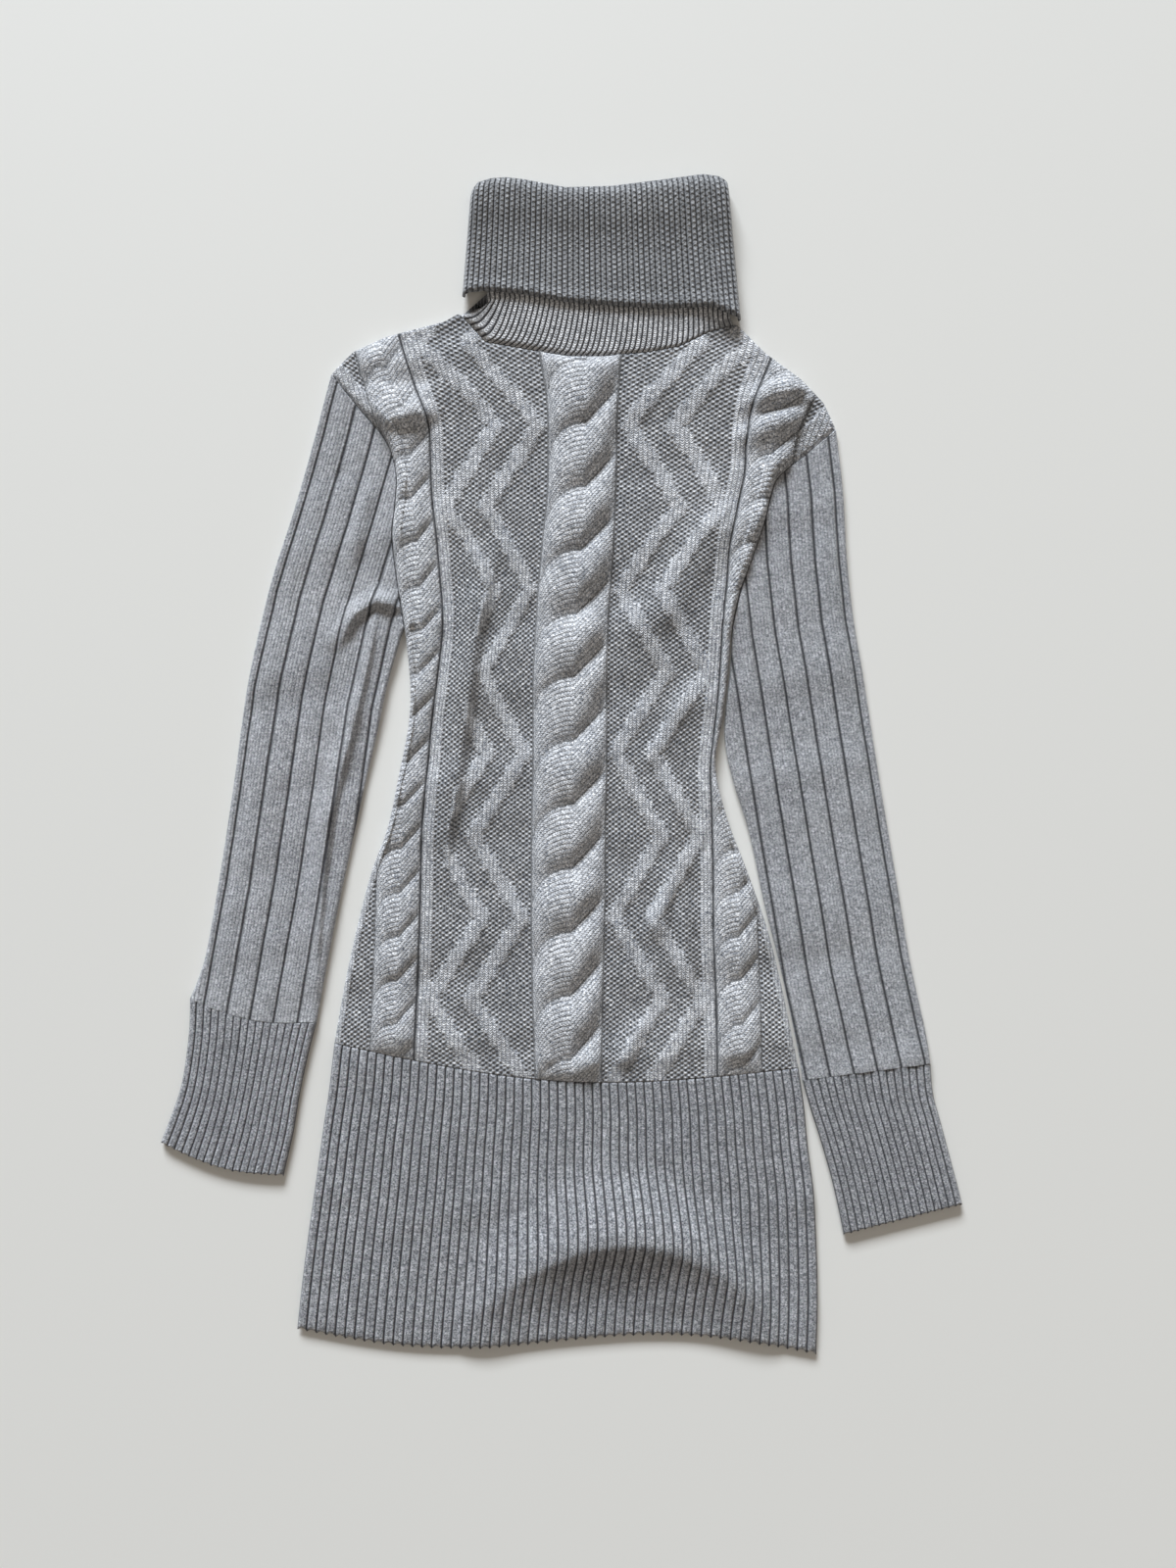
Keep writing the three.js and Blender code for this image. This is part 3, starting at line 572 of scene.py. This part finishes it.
side_high, side_wale, side_course = rope(side_across, SIDE_ROPE_HALF, y, SIDE_ROPE_PITCH,
                                         SIDE_ROPE_CREASE, *SIDE_ROPE_STRANDS)
on_side = (np.abs(side_across) < 1) & (outward > 0)
wale = np.interp(front_place, [1, 2, 3, 4], [-RIB_WALES, -ROPE_WALES, ROPE_WALES, RIB_WALES])
wale = np.where(outward > 0, np.sign(out_left - out_right) * (RIB_WALES + outward / WALE), wale)
share = np.clip((np.abs(wale) - ROPE_WALES) / (RIB_WALES - ROPE_WALES), 0, 1)
pleat = np.array(FRONT_FOLDS[0]["line"])
under_pleat = (x < np.interp(-y, -pleat[:, 1], pleat[:, 0])) & (wale > -RIB_WALES)
under_pleat &= (y < pleat[1, 1]) & (y > pleat[-1, 1])
band, band_high = zigzag(share, y)
has_bands = (share > 0) & (share < 1) & ~under_pleat
band, band_high = band * has_bands, band_high * has_bands
rib_line = np.abs(np.abs(wale) - RIB_WALES) < RIB_LINE_HALF
below_underarm = (front_row > UNDERARM_ROW)[:, None]
on_selvedge = from_edge < np.where(front_row < UNDERARM_ROW, SELVEDGE_WIDE_AT_ARMHOLE, SELVEDGE_WIDE)[:, None]
moss = ((outward > SIDE_ROPE_NEAR + 2 * SIDE_ROPE_HALF + 1) & ~on_selvedge & below_underarm) * 1.0
purl = ~(on_rope | on_side | rib_line | on_selvedge) * (1.0 - band)
folds = fold_relief(FRONT_FOLDS, x, y) * np.sin(np.clip(from_edge / EDGE_FADE, 0, 1) * np.pi / 2)
relief = folds + uneven(x, y) + on_rope * ROPE_HIGH * rope_high + on_side * SIDE_ROPE_HIGH * side_high
knobs = 0.5 + 0.5 * np.cos(2 * np.pi * y / SELVEDGE_KNOB)
relief += ZIGZAG_HIGH * band_high + RIB_LINE_HIGH * rib_line
relief += (SELVEDGE_HIGH + KNOB_HIGH * knobs) * (on_selvedge & (from_edge > 1)) + MOSS_HIGH * moss
relief = np.maximum(relief, RELIEF_LOWEST)
from_join, from_top = np.clip((y - y[-1:]) / JOIN_FADE, 0, 1), np.clip((y[:1] - y) / TOP_SEAM_FADE, 0, 1)
relief *= from_join**0.8 * from_top**0.8
relief += ROPE_EDGE_HIGH * np.exp(-((np.abs(x - rope_middle) - rope_half) / ROPE_EDGE_WIDE) ** 2)
z = MIDDLE + (FRONT_UNDER + WALL + relief - MIDDLE) * side_roll(from_edge)
under = np.minimum(FRONT_UNDER + np.maximum(folds, 0), z - THINNEST)
points, pick = closed_panel((x, y, z), under, FRONT_UNDER_POINTS)
stitch_wale = np.where(on_rope, rope_wale, np.where(on_side, side_wale, wale))
course = np.where(on_rope, rope_course, np.where(on_side, side_course, y / COURSE))
line = line_of(wale, (-RIB_WALES - RIB_GROOVE, RIB_WALES + RIB_GROOVE))


def ringed(values):
    """A field over the panel's upper side, carried on round its underside."""
    values = np.broadcast_to(values, x.shape)
    return np.concatenate([values, values[:, pick]], axis=1)


front_panel = knit_piece(
    "front_panel_knit", points, False, under=FRONT_UNDER_POINTS, wale=ringed(stitch_wale),
    course=ringed(course), line=ringed(line), purl=ringed(purl), moss=ringed(moss),
)
# Painted light: the stitches get painted shade and highlights, the purl ground and the grooves painted shade.
cable_knit = knit_material(
    "cable_knit", dark=(0.12, 0.135, 0.165), light=(0.76, 0.755, 0.76), groove=(0.02, 0.024, 0.035),
    groove_width=0.13, fleck=0.7, shade=0.02, crown_highlight=1.6, purl_shade=0.77,
)
finish_piece(front_panel, cable_knit, "cable_knit", "front_panel")


# ---- Back panel ----
# The same cut as the front with a higher neckline, in plain reverse stockinette and rib lines. It
# lies face down on the table and carries the front.

BACK_ROWS, BACK_PLACES, BACK_UNDER_POINTS = 90, (16, 24, 14), 60
BACK_ROLL = 2.0
back_row = even_rows(BACK_ROWS)
x, y = body_xy(back_row, body_places(*BACK_PLACES), 2)
section = smooth_rows(BODY_SECTIONS, back_row)
from_edge = np.minimum(x - section[:, [RIGHT_X]], section[:, [LEFT_X]] - x)
half_wall = WALL / 2 * side_roll(from_edge, BACK_ROLL)
points, pick = closed_panel((x, y, WALL / 2 + half_wall), WALL / 2 - half_wall, BACK_UNDER_POINTS)
back_panel = knit_piece(
    "back_panel_knit", points, False, under=BACK_UNDER_POINTS, wale=ringed(x / WALE),
    course=ringed(y / COURSE), line=ringed(line_of(x / WALE, (-RIB_WALES, RIB_WALES))),
    purl=ringed(0.0), moss=ringed(0.0),
)
finish_piece(back_panel, cable_knit, "cable_knit", "back_panel")


# ---- Hem rib, front and back ----
# A deep 2x1 rib knitted on below the body. Its open edge shows the rounded tips of the ribs, and the
# front stands up in one arched fold.

HEM_SECTIONS = np.array([
    (-165, -202, 172, -220), (-168, -230, 176, -248), (-173, -263, 179, -279), (-178, -300, 183, -310),
    (-183, -334, 185, -345), (-188, -372, 186, -385), (-192, -408, 185, -426.4),
], float)
HEM_WAVE = 9
HEM_WIDE, HEM_LONG = 360, 205
HEM_RIBS = 54
HEM_UNDER_POINTS = HEM_RIBS * 2 + 1
ARCH_X, ARCH_CREST, ARCH_RISE, ARCH_REACH = 42, -343, 18.0, 118
ARCH_DROOP = 0.0050  # millimetres that the crest runs lower, for each square millimetre off its middle
ARCH_ABOVE, ARCH_BELOW = 58, 62  # depths of the fold's slopes
ARCH_SWAY = 5.0  # how far the ribs bend sideways over the crest
RIB_DEEP = 1.5
RIB_SHRINK = 0.4  # how much thinner than plain knit the cloth between ribs is
HEM_SCALLOP = 2.6  # how far the open edge draws in at each groove
HEM_SIDE_ROLL, HEM_END_ROLL, HEM_END_SHARE, HEM_THINNEST = 3.0, 4.0, 0.35, 0.35


def hem_xy(row, across):
    """x and y of the hem: each section is straight, with the join's curve at its top fading into a
    waved open edge, a full sine wave that grows as row squared."""
    last = len(HEM_SECTIONS) - 1
    right_x, right_y, left_x, left_y = smooth_rows(HEM_SECTIONS, row).T[:, :, None]
    down = (row / last)[:, None]
    marks = BODY_SECTIONS[-1, [RIGHT_X, RIB_RIGHT, ROPE_RIGHT, ROPE_LEFT, RIB_LEFT, LEFT_X]]
    place = np.interp(across, (marks - marks[0]) / (marks[-1] - marks[0]), np.arange(len(marks)))
    top_y = body_xy(np.array([float(BODY_LAST)]), place, 1)[1]
    top_straight = BODY_SECTIONS[-1, RIGHT_Y] * (1 - across) + BODY_SECTIONS[-1, LEFT_Y] * across
    join = (top_y - top_straight) * (1 - down)
    wave = -HEM_WAVE * np.sin(2 * np.pi * across) * down**2
    x = right_x * (1 - across) + left_x * across
    return x, right_y * (1 - across) + left_y * across + join + wave - SEAM_GAP * (1 - down)


def arch_high(x, y):
    """Height of the arched fold, whose crest droops at its ends: cos squared above the crest, and a
    parabola below it, steepest at the crest."""
    out = np.clip((x - ARCH_X) / ARCH_REACH, -1, 1)
    crest = ARCH_CREST - ARCH_DROOP * (x - ARCH_X) ** 2
    above = np.cos(np.clip((y - crest) / ARCH_ABOVE, 0, 1) * np.pi / 2) ** 2
    below = (1 - np.clip((crest - y) / ARCH_BELOW, 0, 1)) ** 2
    return ARCH_RISE * (1 - out**2) * np.where(y > crest, above, below)


def rib_round(rib):
    """Height of a rib, 0 in the groove at each whole number and 1 over most of its width."""
    return np.abs(np.sin(np.pi * rib)) ** 0.4


# Painted light: the ribs' stitches get painted shade and highlights, and their grooves painted shade.
rib_knit = knit_material(
    "rib_knit", dark=(0.11, 0.118, 0.137), light=(0.60, 0.60, 0.62), groove=(0.008, 0.010, 0.025),
    groove_width=0.16, fleck=0.8, shade=0.45, crown_highlight=1.1,
)
for name, rises, rows in (("front_hem_rib", True, 64), ("back_hem_rib", False, 14)):
    hem_row = np.linspace(0, 1, rows) ** 0.95 * (len(HEM_SECTIONS) - 1)
    across = np.linspace(0, 1, HEM_RIBS * 10 + 1)
    x, y = hem_xy(hem_row, across)
    rib = across * HEM_RIBS
    down = (hem_row / hem_row[-1])[:, None]
    arch = arch_high(x, y) if rises else np.zeros_like(x)
    swell = np.maximum(uneven(x, y), 0) * np.clip((1 - down) * 8, 0, 1) * np.clip(down * 8, 0, 1) * rises
    x = x + ARCH_SWAY * (arch / ARCH_RISE)
    y = y + (rib_round(rib) - 1) * HEM_SCALLOP * down**12
    from_edge = np.minimum(across, 1 - across) * HEM_WIDE
    end_roll = side_roll((1 - down) * HEM_LONG + SEAM_GAP, HEM_END_ROLL)
    roll = side_roll(from_edge, HEM_SIDE_ROLL) * (HEM_END_SHARE + (1 - HEM_END_SHARE) * end_roll)
    ribbed = WALL - RIB_SHRINK + RIB_DEEP * (rib_round(rib) - 0.45) * side_roll(from_edge, 2.0)
    under = (FRONT_UNDER if rises else 0.0) + arch + swell
    z = under + np.maximum(ribbed * roll, HEM_THINNEST)
    points, pick = closed_panel((x, y, z), under, HEM_UNDER_POINTS)
    hem = knit_piece(
        name + "_knit", points, False, under=HEM_UNDER_POINTS, wale=ringed(rib * 2),
        course=ringed(y / COURSE), line=ringed(rib), purl=ringed(0.0), moss=ringed(0.0),
    )
    finish_piece(hem, rib_knit, "rib_knit", name)


# ---- Sleeves ----
# Each is one knitted piece closed by an underarm seam, in wide flat ribs that run down it beside the
# outer edge, and set into the armhole. It lies flat, with a long pleat in the right one.

RIGHT_SLEEVE = np.array([
    (-167, 283, -114, 99), (-178, 241, -120, 80), (-194, 185, -127, 55), (-212, 128, -134, 22),
    (-228, 57, -142, -12), (-238, -14, -151, -52), (-249, -85, -161, -98), (-259, -140, -169, -138),
    (-270, -170, -178, -187),
], float)
LEFT_SLEEVE = np.array([
    (199, 243, 124, 100), (204, 199, 122, 67), (207, 150, 118.5, 33), (212, 105, 119, 12),
    (220, 58, 125, -14), (229, 0, 136.5, -51), (241, -71, 147, -100), (253, -142, 159.5, -150),
    (264, -192, 171.5, -206), (268, -217, 175, -229),
], float)
RIGHT_CUFF_BOW, LEFT_CUFF_BOW = -7, 0  # how far the line between sleeve and cuff bows down
TUBE_EDGE, TUBE_LIFT_EDGE = 3.0, 6
TUBE_UPPER, TUBE_LOWER = 130, 60  # points across a tube's upper and lower layer
TUBE_CORE = 95  # the point towards which the inner face shrinks
SLEEVE_RIB, SLEEVE_FIRST_RIB = 17.2, 6.0
SLEEVE_CROWN, SLEEVE_GROOVE, SLEEVE_SWELL = 1.6, 0.5, 0.8
SLEEVE_ROWS, SLEEVE_INNER_ROWS = 260, 12
RIGHT_SLEEVE_FOLDS = [
    {"line": [(-132, 128), (-137, 88), (-144, 55), (-152, 20), (-160, -8), (-167, -40), (-172, -80),
              (-176, -130), (-178, -175)],
     "left": 3.2, "right": 15, "high": 4.8},
    {"line": [(-138, 205), (-146, 178), (-152, 140)], "left": 9, "right": 9, "high": 2.4},
    {"line": [(-155, 215), (-164, 206)], "left": 6, "right": 6, "high": -1.2},
    {"line": [(-104, 112), (-134, 118), (-150, 108), (-166, 80)], "left": 7, "right": 14, "high": 5.4},
    {"line": [(-230, 60), (-214, -10), (-226, -90)], "left": 16, "right": 16, "high": 1.4},
]
LEFT_SLEEVE_FOLDS = [
    {"line": [(128, 150), (133, 110), (140, 60)], "left": 9, "right": 9, "high": 2.2},
    {"line": [(190, 200), (194, 120), (206, 40)], "left": 12, "right": 12, "high": 1.6},
    {"line": [(170, 20), (186, -60), (204, -140)], "left": 14, "right": 14, "high": 1.5},
]


def distance_to(line, x, y):
    """Distance from points to a line of straight stretches."""
    nearest = np.full_like(x, np.inf)
    for start, end in zip(line[:-1], line[1:]):
        length = np.hypot(*(end - start))
        dx, dy = (end - start) / length
        t = np.clip((x - start[0]) * dx + (y - start[1]) * dy, 0, length)
        nearest = np.minimum(nearest, np.hypot(x - start[0] - t * dx, y - start[1] - t * dy))
    return nearest


def tube_xy(sections, row, across, top_curve, end_bow, shift):
    """x and y of a flattened tube: across runs from its outer to its inner edge on each section. The
    first section bends on to top_curve, fading as a square, and the last one bows down."""
    outer_x, outer_y, inner_x, inner_y = smooth_rows(sections, row).T[:, :, None]
    down = (row / (len(sections) - 1))[:, None]
    x = outer_x * (1 - across) + inner_x * across
    y = outer_y * (1 - across) + inner_y * across
    bow = end_bow * np.sin(np.pi * across)
    if top_curve is not None:
        seam = smooth_rows(top_curve, across * (len(top_curve) - 1))
        first = sections[0]
        x = x + (seam[:, 0] - first[0] * (1 - across) - first[2] * across) * (1 - down) ** 2
        y = y + (seam[:, 1] - first[1] * (1 - across) - first[3] * across) * (1 - down) ** 2
        bow = bow * down**3
    return x + shift[0] * (1 - down), y + bow + shift[1] * (1 - down)


def edge_spaced(count):
    """count shares from 0 to 1, about four times closer together at both ends."""
    t = np.linspace(0, 1, count)
    return t - 0.12 * np.sin(2 * np.pi * t)


TUBE_SHARE = np.concatenate([edge_spaced(TUBE_UPPER), edge_spaced(TUBE_LOWER)[::-1][1:-1]])


def tube_ring(place, over, row, face):
    """Rings of a flat tube's wall at some rows, on its outer or inner face. place gives x and y of rows
    and shares across, and over the height of the upper layer above the cloth's usual top."""
    upper = np.arange(len(TUBE_SHARE)) < TUBE_UPPER
    x, y = place(row, TUBE_SHARE)
    width = np.hypot(x[:, TUBE_UPPER - 1] - x[:, 0], y[:, TUBE_UPPER - 1] - y[:, 0])[:, None]
    from_side = np.minimum(TUBE_SHARE, 1 - TUBE_SHARE) * width
    half = MIDDLE * side_roll(from_side, TUBE_EDGE)
    lift = np.where(upper, over(x, y), 0) * side_roll(from_side, TUBE_LIFT_EDGE)
    if face == "inner":
        half = np.maximum(half - WALL, 0.1)
        core = x[:, [TUBE_CORE]]
        x = core + (x - core) * (1 - WALL / width)
        lift = lift * 0.9
    return x, y, np.where(upper, MIDDLE + half + lift, MIDDLE - half)


def build_tube(name, last, rows, inner_rows, place, over, fields_of):
    """A flat tube: outer rings down to the last section, inner rings back up, all joined. fields_of
    gives its fields from x and y."""
    outside = tube_ring(place, over, np.linspace(0, last, rows), "outer")
    inside = tube_ring(place, over, np.linspace(last, 0, inner_rows), "inner")
    x, y, z = (np.concatenate(both) for both in zip(outside, inside))
    fields = {key: np.broadcast_to(value, x.shape) for key, value in fields_of(x, y).items()}
    return knit_piece(name, np.stack([x, y, z], axis=-1), True, **fields)


# Painted light: the sleeves' stitches get painted shade and highlights, and their grooves painted shade.
sleeve_knit = knit_material(
    "sleeve_knit", dark=(0.15, 0.16, 0.18), light=(0.66, 0.66, 0.68), groove=(0.010, 0.012, 0.018),
    groove_width=0.09, fleck=0.6, shade=0.45, crown_highlight=1.2,
)
for side, sections, edge, out, bow, sleeve_folds in (
    ("right", RIGHT_SLEEVE, [RIGHT_X, RIGHT_Y], -1, RIGHT_CUFF_BOW, RIGHT_SLEEVE_FOLDS),
    ("left", LEFT_SLEEVE, [LEFT_X, LEFT_Y], 1, LEFT_CUFF_BOW, LEFT_SLEEVE_FOLDS),
):
    armhole = BODY_SECTIONS[:UNDERARM_ROW + 1, edge]
    guide = np.vstack([sections[:-1, :2], 2 * sections[-2, :2] - sections[-3, :2]])

    def sleeve_place(row, share):
        return tube_xy(sections, row, share, armhole, bow, (out * SEAM_GAP, 0))

    def sleeve_rib(x, y):
        return (distance_to(guide, x, y) - SLEEVE_FIRST_RIB) / SLEEVE_RIB

    def sleeve_over(x, y):
        crown = SLEEVE_CROWN * (0.5 * (1 - np.cos(2 * np.pi * sleeve_rib(x, y))) ** 0.5) - SLEEVE_GROOVE
        return fold_relief(sleeve_folds, x, y) + uneven(x, y) * SLEEVE_SWELL + crown

    def sleeve_fields(x, y):
        rib = sleeve_rib(x, y)
        return {"wale": rib * SLEEVE_RIB / WALE, "course": y / COURSE, "line": rib, "purl": 0.0, "moss": 0.0}

    name = side + "_sleeve"
    piece = build_tube(name + "_knit", len(sections) - 1, SLEEVE_ROWS, SLEEVE_INNER_ROWS, sleeve_place,
                       sleeve_over, sleeve_fields)
    finish_piece(piece, sleeve_knit, "sleeve_knit", name)


# ---- Cuffs ----
# Narrow 2x1 rib tubes knitted on at the ends of the sleeves, with soft scalloped open edges.

RIGHT_CUFF = np.array([
    (-270, -170, -178, -187), (-271, -196, -183, -206), (-276, -231, -190, -238),
    (-284, -256, -195, -268), (-291, -273, -202, -297),
], float)
LEFT_CUFF = np.array([
    (268, -217, 175, -229), (270, -239, 181, -250), (275, -258, 188, -272), (283, -288, 197, -304),
    (291, -318, 205, -340),
], float)
CUFF_RIBS = 17
CUFF_SCALLOP = 2.2
CUFF_ROWS, CUFF_INNER_ROWS = 70, 8
cuff_rib = TUBE_SHARE * CUFF_RIBS
for name, sections, bow in (
    ("right_cuff", RIGHT_CUFF, RIGHT_CUFF_BOW), ("left_cuff", LEFT_CUFF, LEFT_CUFF_BOW),
):
    def cuff_place(row, share):
        x, y = tube_xy(sections, row, share, None, bow, (0, -SEAM_GAP))
        down = (row / (len(sections) - 1))[:, None]
        return x, y + (rib_round(cuff_rib) - 1) * CUFF_SCALLOP * down**14

    def cuff_over(x, y):
        return RIB_DEEP * (rib_round(cuff_rib) - 0.55)

    def cuff_fields(x, y):
        return {"wale": cuff_rib * 2, "course": y / COURSE, "line": cuff_rib, "purl": 0.0, "moss": 0.0}

    piece = build_tube(name + "_knit", len(sections) - 1, CUFF_ROWS, CUFF_INNER_ROWS, cuff_place, cuff_over,
                       cuff_fields)
    finish_piece(piece, rib_knit, "rib_knit", name)


# ---- Collar ----
# One 1x1 rib tube, linked to the neckline. It stands up from it, bends over at the top and turns down
# outside itself, with its open edge lying on the stand.

# Share from the right side (0) to the left (1), then the heights of the top bend and of the
# turned-down edge there.
COLLAR_EDGES = np.array([
    (0, 414, 338), (0.03, 420.5, 340), (0.08, 423.5, 341.5), (0.14, 424.2, 341), (0.2, 423, 340),
    (0.37, 417, 334), (0.55, 418, 331), (0.72, 422, 329), (0.9, 426.5, 330), (0.96, 425, 324), (1, 421, 321),
], float)
# x of the collar's right and left sides, from the neckline up the stand, and down outside it.
NECK_SIDES, STAND_SIDES, BEND_SIDES, TURNED_SIDES = (-74.4, 126.8), (-55, 124), (-66, 121), (-72, 130)
INNER_BEND_SIDES, INNER_STAND_SIDES, INNER_NECK_SIDES = (-65.2, 120.2), (-54.2, 123.2), (-73.8, 126.2)
SIDE_SHARE = 0.03  # share of the width over which a side is rounded
COLLAR_RIBS, COLLAR_RIB_HIGH = 50, 0.9
BACK_SHORTER = 9
# Half-heights of the wall's faces about the collar's middle
STAND_INNER, STAND_OUTER = GAP / 2, WALL + GAP / 2
TURNED_INNER, TURNED_OUTER = WALL + 3 * GAP / 2, 2 * WALL + 3 * GAP / 2
COLLAR_MIDDLE = TURNED_OUTER
BEND_HALF, INNER_BEND_HALF, BEND_DEEP = 1.2, 1.4, 3
NECK_ROWS, STAND_ROWS, BEND_ROWS, TURN_ROWS, INNER_TURN_ROWS, INNER_STAND_ROWS = 10, 22, 5, 34, 10, 6
# The turn-down stands off the stand below the bend: shares of its height, and of the puff there.
PUFF = 6.0
PUFF_DOWN, PUFF_SHARE = (0, 0.02, 0.05, 0.12, 0.25, 0.4, 0.55, 1), (0, 0.6, 0.9, 1, 0.8, 0.35, 0.1, 0)
# Its corners lift off the stand: shares of the width, and how far each lifts.
LIFT_ACROSS, LIFT_HIGH = (0, 0.03, 0.12, 0.82, 0.93, 1), (2.5, 2.0, 0, 0, 2.2, 3.0)
ROLL_HIGH, ROLL_DOWN, ROLL_WIDE = 1.5, 0.955, 0.035  # the rolled edge: height, place and width
TURNED_PURL_AND_SHADE = 0.55  # share of purl chequer in the turned-down ribs, which with the collar's purl_shade also paints shade on them, darker than the stand

front_points, back_points = COLLAR_RIBS * 8 + 1, COLLAR_RIBS * 4 + 1
across = np.concatenate([np.linspace(0, 1, front_points), np.linspace(1, 0, back_points)[1:-1]])
is_front = np.arange(len(across)) < front_points
side_round = side_roll(np.minimum(across, 1 - across), SIDE_SHARE)
top = np.interp(across, COLLAR_EDGES[:, 0], COLLAR_EDGES[:, 1])
turned = np.interp(across, COLLAR_EDGES[:, 0], COLLAR_EDGES[:, 2]) + np.where(is_front, 0, BACK_SHORTER)
seam_x = NECK_SIDES[0] + (NECK_SIDES[1] - NECK_SIDES[0]) * across
seam = np.where(is_front, np.interp(seam_x, TOP_EDGE[:, 0], TOP_EDGE[:, 1]),
                np.interp(seam_x, TOP_EDGE[:, 0], TOP_EDGE[:, 2])) + SEAM_GAP
stand_low = np.maximum(turned - 4, seam + 4)
lifted = np.interp(across, LIFT_ACROSS, LIFT_HIGH) * is_front
rib = across * COLLAR_RIBS
rib_arch = np.abs(np.sin(np.pi * rib)) ** 0.5
rib_high = COLLAR_RIB_HIGH * (rib_arch - 0.5)
collar_rows = []


def sides(start, end, t):
    """Right and left side on the straight way from start (t is 0) to end (1)."""
    return start[0] + (end[0] - start[0]) * t, start[1] + (end[1] - start[1]) * t


def collar_row(x_sides, y, half, middle, out):
    """One ring of the collar at heights y, half-height half about middle; out lifts its front."""
    x = x_sides[0] + (x_sides[1] - x_sides[0]) * across
    inset = (TURNED_OUTER - half) * np.where(across < 0.5, 1, -1) * (1 - side_round)
    z = middle + np.where(is_front, 1, -1) * (half + out * is_front) * side_round
    collar_rows.append(np.stack([x + inset, y, z], axis=-1))


for t in np.linspace(0, 1, NECK_ROWS):
    x_sides = sides(NECK_SIDES, STAND_SIDES, t**0.5)[0], sides(NECK_SIDES, STAND_SIDES, t)[1]
    middle = MIDDLE + (COLLAR_MIDDLE - MIDDLE) * t
    collar_row(x_sides, seam + (stand_low - seam) * t, STAND_OUTER, middle, rib_high * 0.8)
for t in np.linspace(0, 1, STAND_ROWS)[1:]:
    y = stand_low + (top - BEND_DEEP - stand_low) * t
    half = STAND_OUTER * (1 - t) + BEND_HALF * t
    collar_row(sides(STAND_SIDES, BEND_SIDES, t), y, half, COLLAR_MIDDLE, 0)
for t in np.linspace(0, 1, BEND_ROWS)[1:]:
    half = BEND_HALF + (TURNED_OUTER - BEND_HALF) * (1 - np.cos(np.pi * t)) / 2
    y = top - BEND_DEEP + BEND_DEEP * np.sin(np.pi * t)
    collar_row(BEND_SIDES, y, half, COLLAR_MIDDLE, rib_high * t)
for t in np.linspace(0, 1, TURN_ROWS)[1:]:
    puff = PUFF * np.interp(t, PUFF_DOWN, PUFF_SHARE)
    roll = ROLL_HIGH * np.exp(-((t - ROLL_DOWN) / ROLL_WIDE) ** 2)
    scallop = (1 - rib_arch) * (1.2 * t**10 - 1.0 * (1 - t) ** 16)
    y = top - BEND_DEEP + (turned - top + BEND_DEEP) * t + scallop
    collar_row(sides(BEND_SIDES, TURNED_SIDES, t), y, TURNED_OUTER, COLLAR_MIDDLE,
               rib_high + puff + roll + lifted * t**3)
collar_row(TURNED_SIDES, turned + 0.2, TURNED_INNER + 0.4, COLLAR_MIDDLE, lifted)
for t in np.linspace(1, 0, INNER_TURN_ROWS):
    y = top - 5 + (turned - top + 5) * t + 1
    half = TURNED_INNER * t + INNER_BEND_HALF * (1 - t)
    collar_row(sides(BEND_SIDES, TURNED_SIDES, t), y, half, COLLAR_MIDDLE, lifted * t**3 * 0.9)
for t in np.linspace(0, 1, INNER_STAND_ROWS)[1:]:
    y = top - 6 + (stand_low - top + 6) * t
    collar_row(sides(INNER_BEND_SIDES, INNER_STAND_SIDES, t), y, STAND_INNER + 0.2, COLLAR_MIDDLE, 0)
collar_row(INNER_NECK_SIDES, seam + 0.5, STAND_INNER + 0.1, MIDDLE, 0)
points = np.array(collar_rows)
shape = points.shape[:2]
front_middle = points[:, front_points // 2]
gone = np.concatenate([[0], np.cumsum(np.linalg.norm(np.diff(front_middle, axis=0), axis=1))])[:, None]
is_turned = (np.arange(shape[0]) >= NECK_ROWS + STAND_ROWS)[:, None]
# The turned-down part's purl share also paints shade on it through the collar's purl_shade.
fields = {"wale": rib, "course": gone / COURSE, "line": rib, "purl": is_turned * TURNED_PURL_AND_SHADE, "moss": 0.0}
fields = {key: np.broadcast_to(value, shape) for key, value in fields.items()}
collar = knit_piece("collar_knit", points, True, **fields)
# Painted light: stitches get painted shade and highlights, grooves painted shade, and purl_shade paints the
# turned-down part darker.
collar_knit = knit_material(
    "collar_knit", dark=(0.18, 0.19, 0.21), light=(0.92, 0.92, 0.93), groove=(0.012, 0.014, 0.032),
    groove_width=0.20, fleck=0.6, shade=0.2, purl_shade=0.03,
)
finish_piece(collar, collar_knit, "collar_knit", "collar")
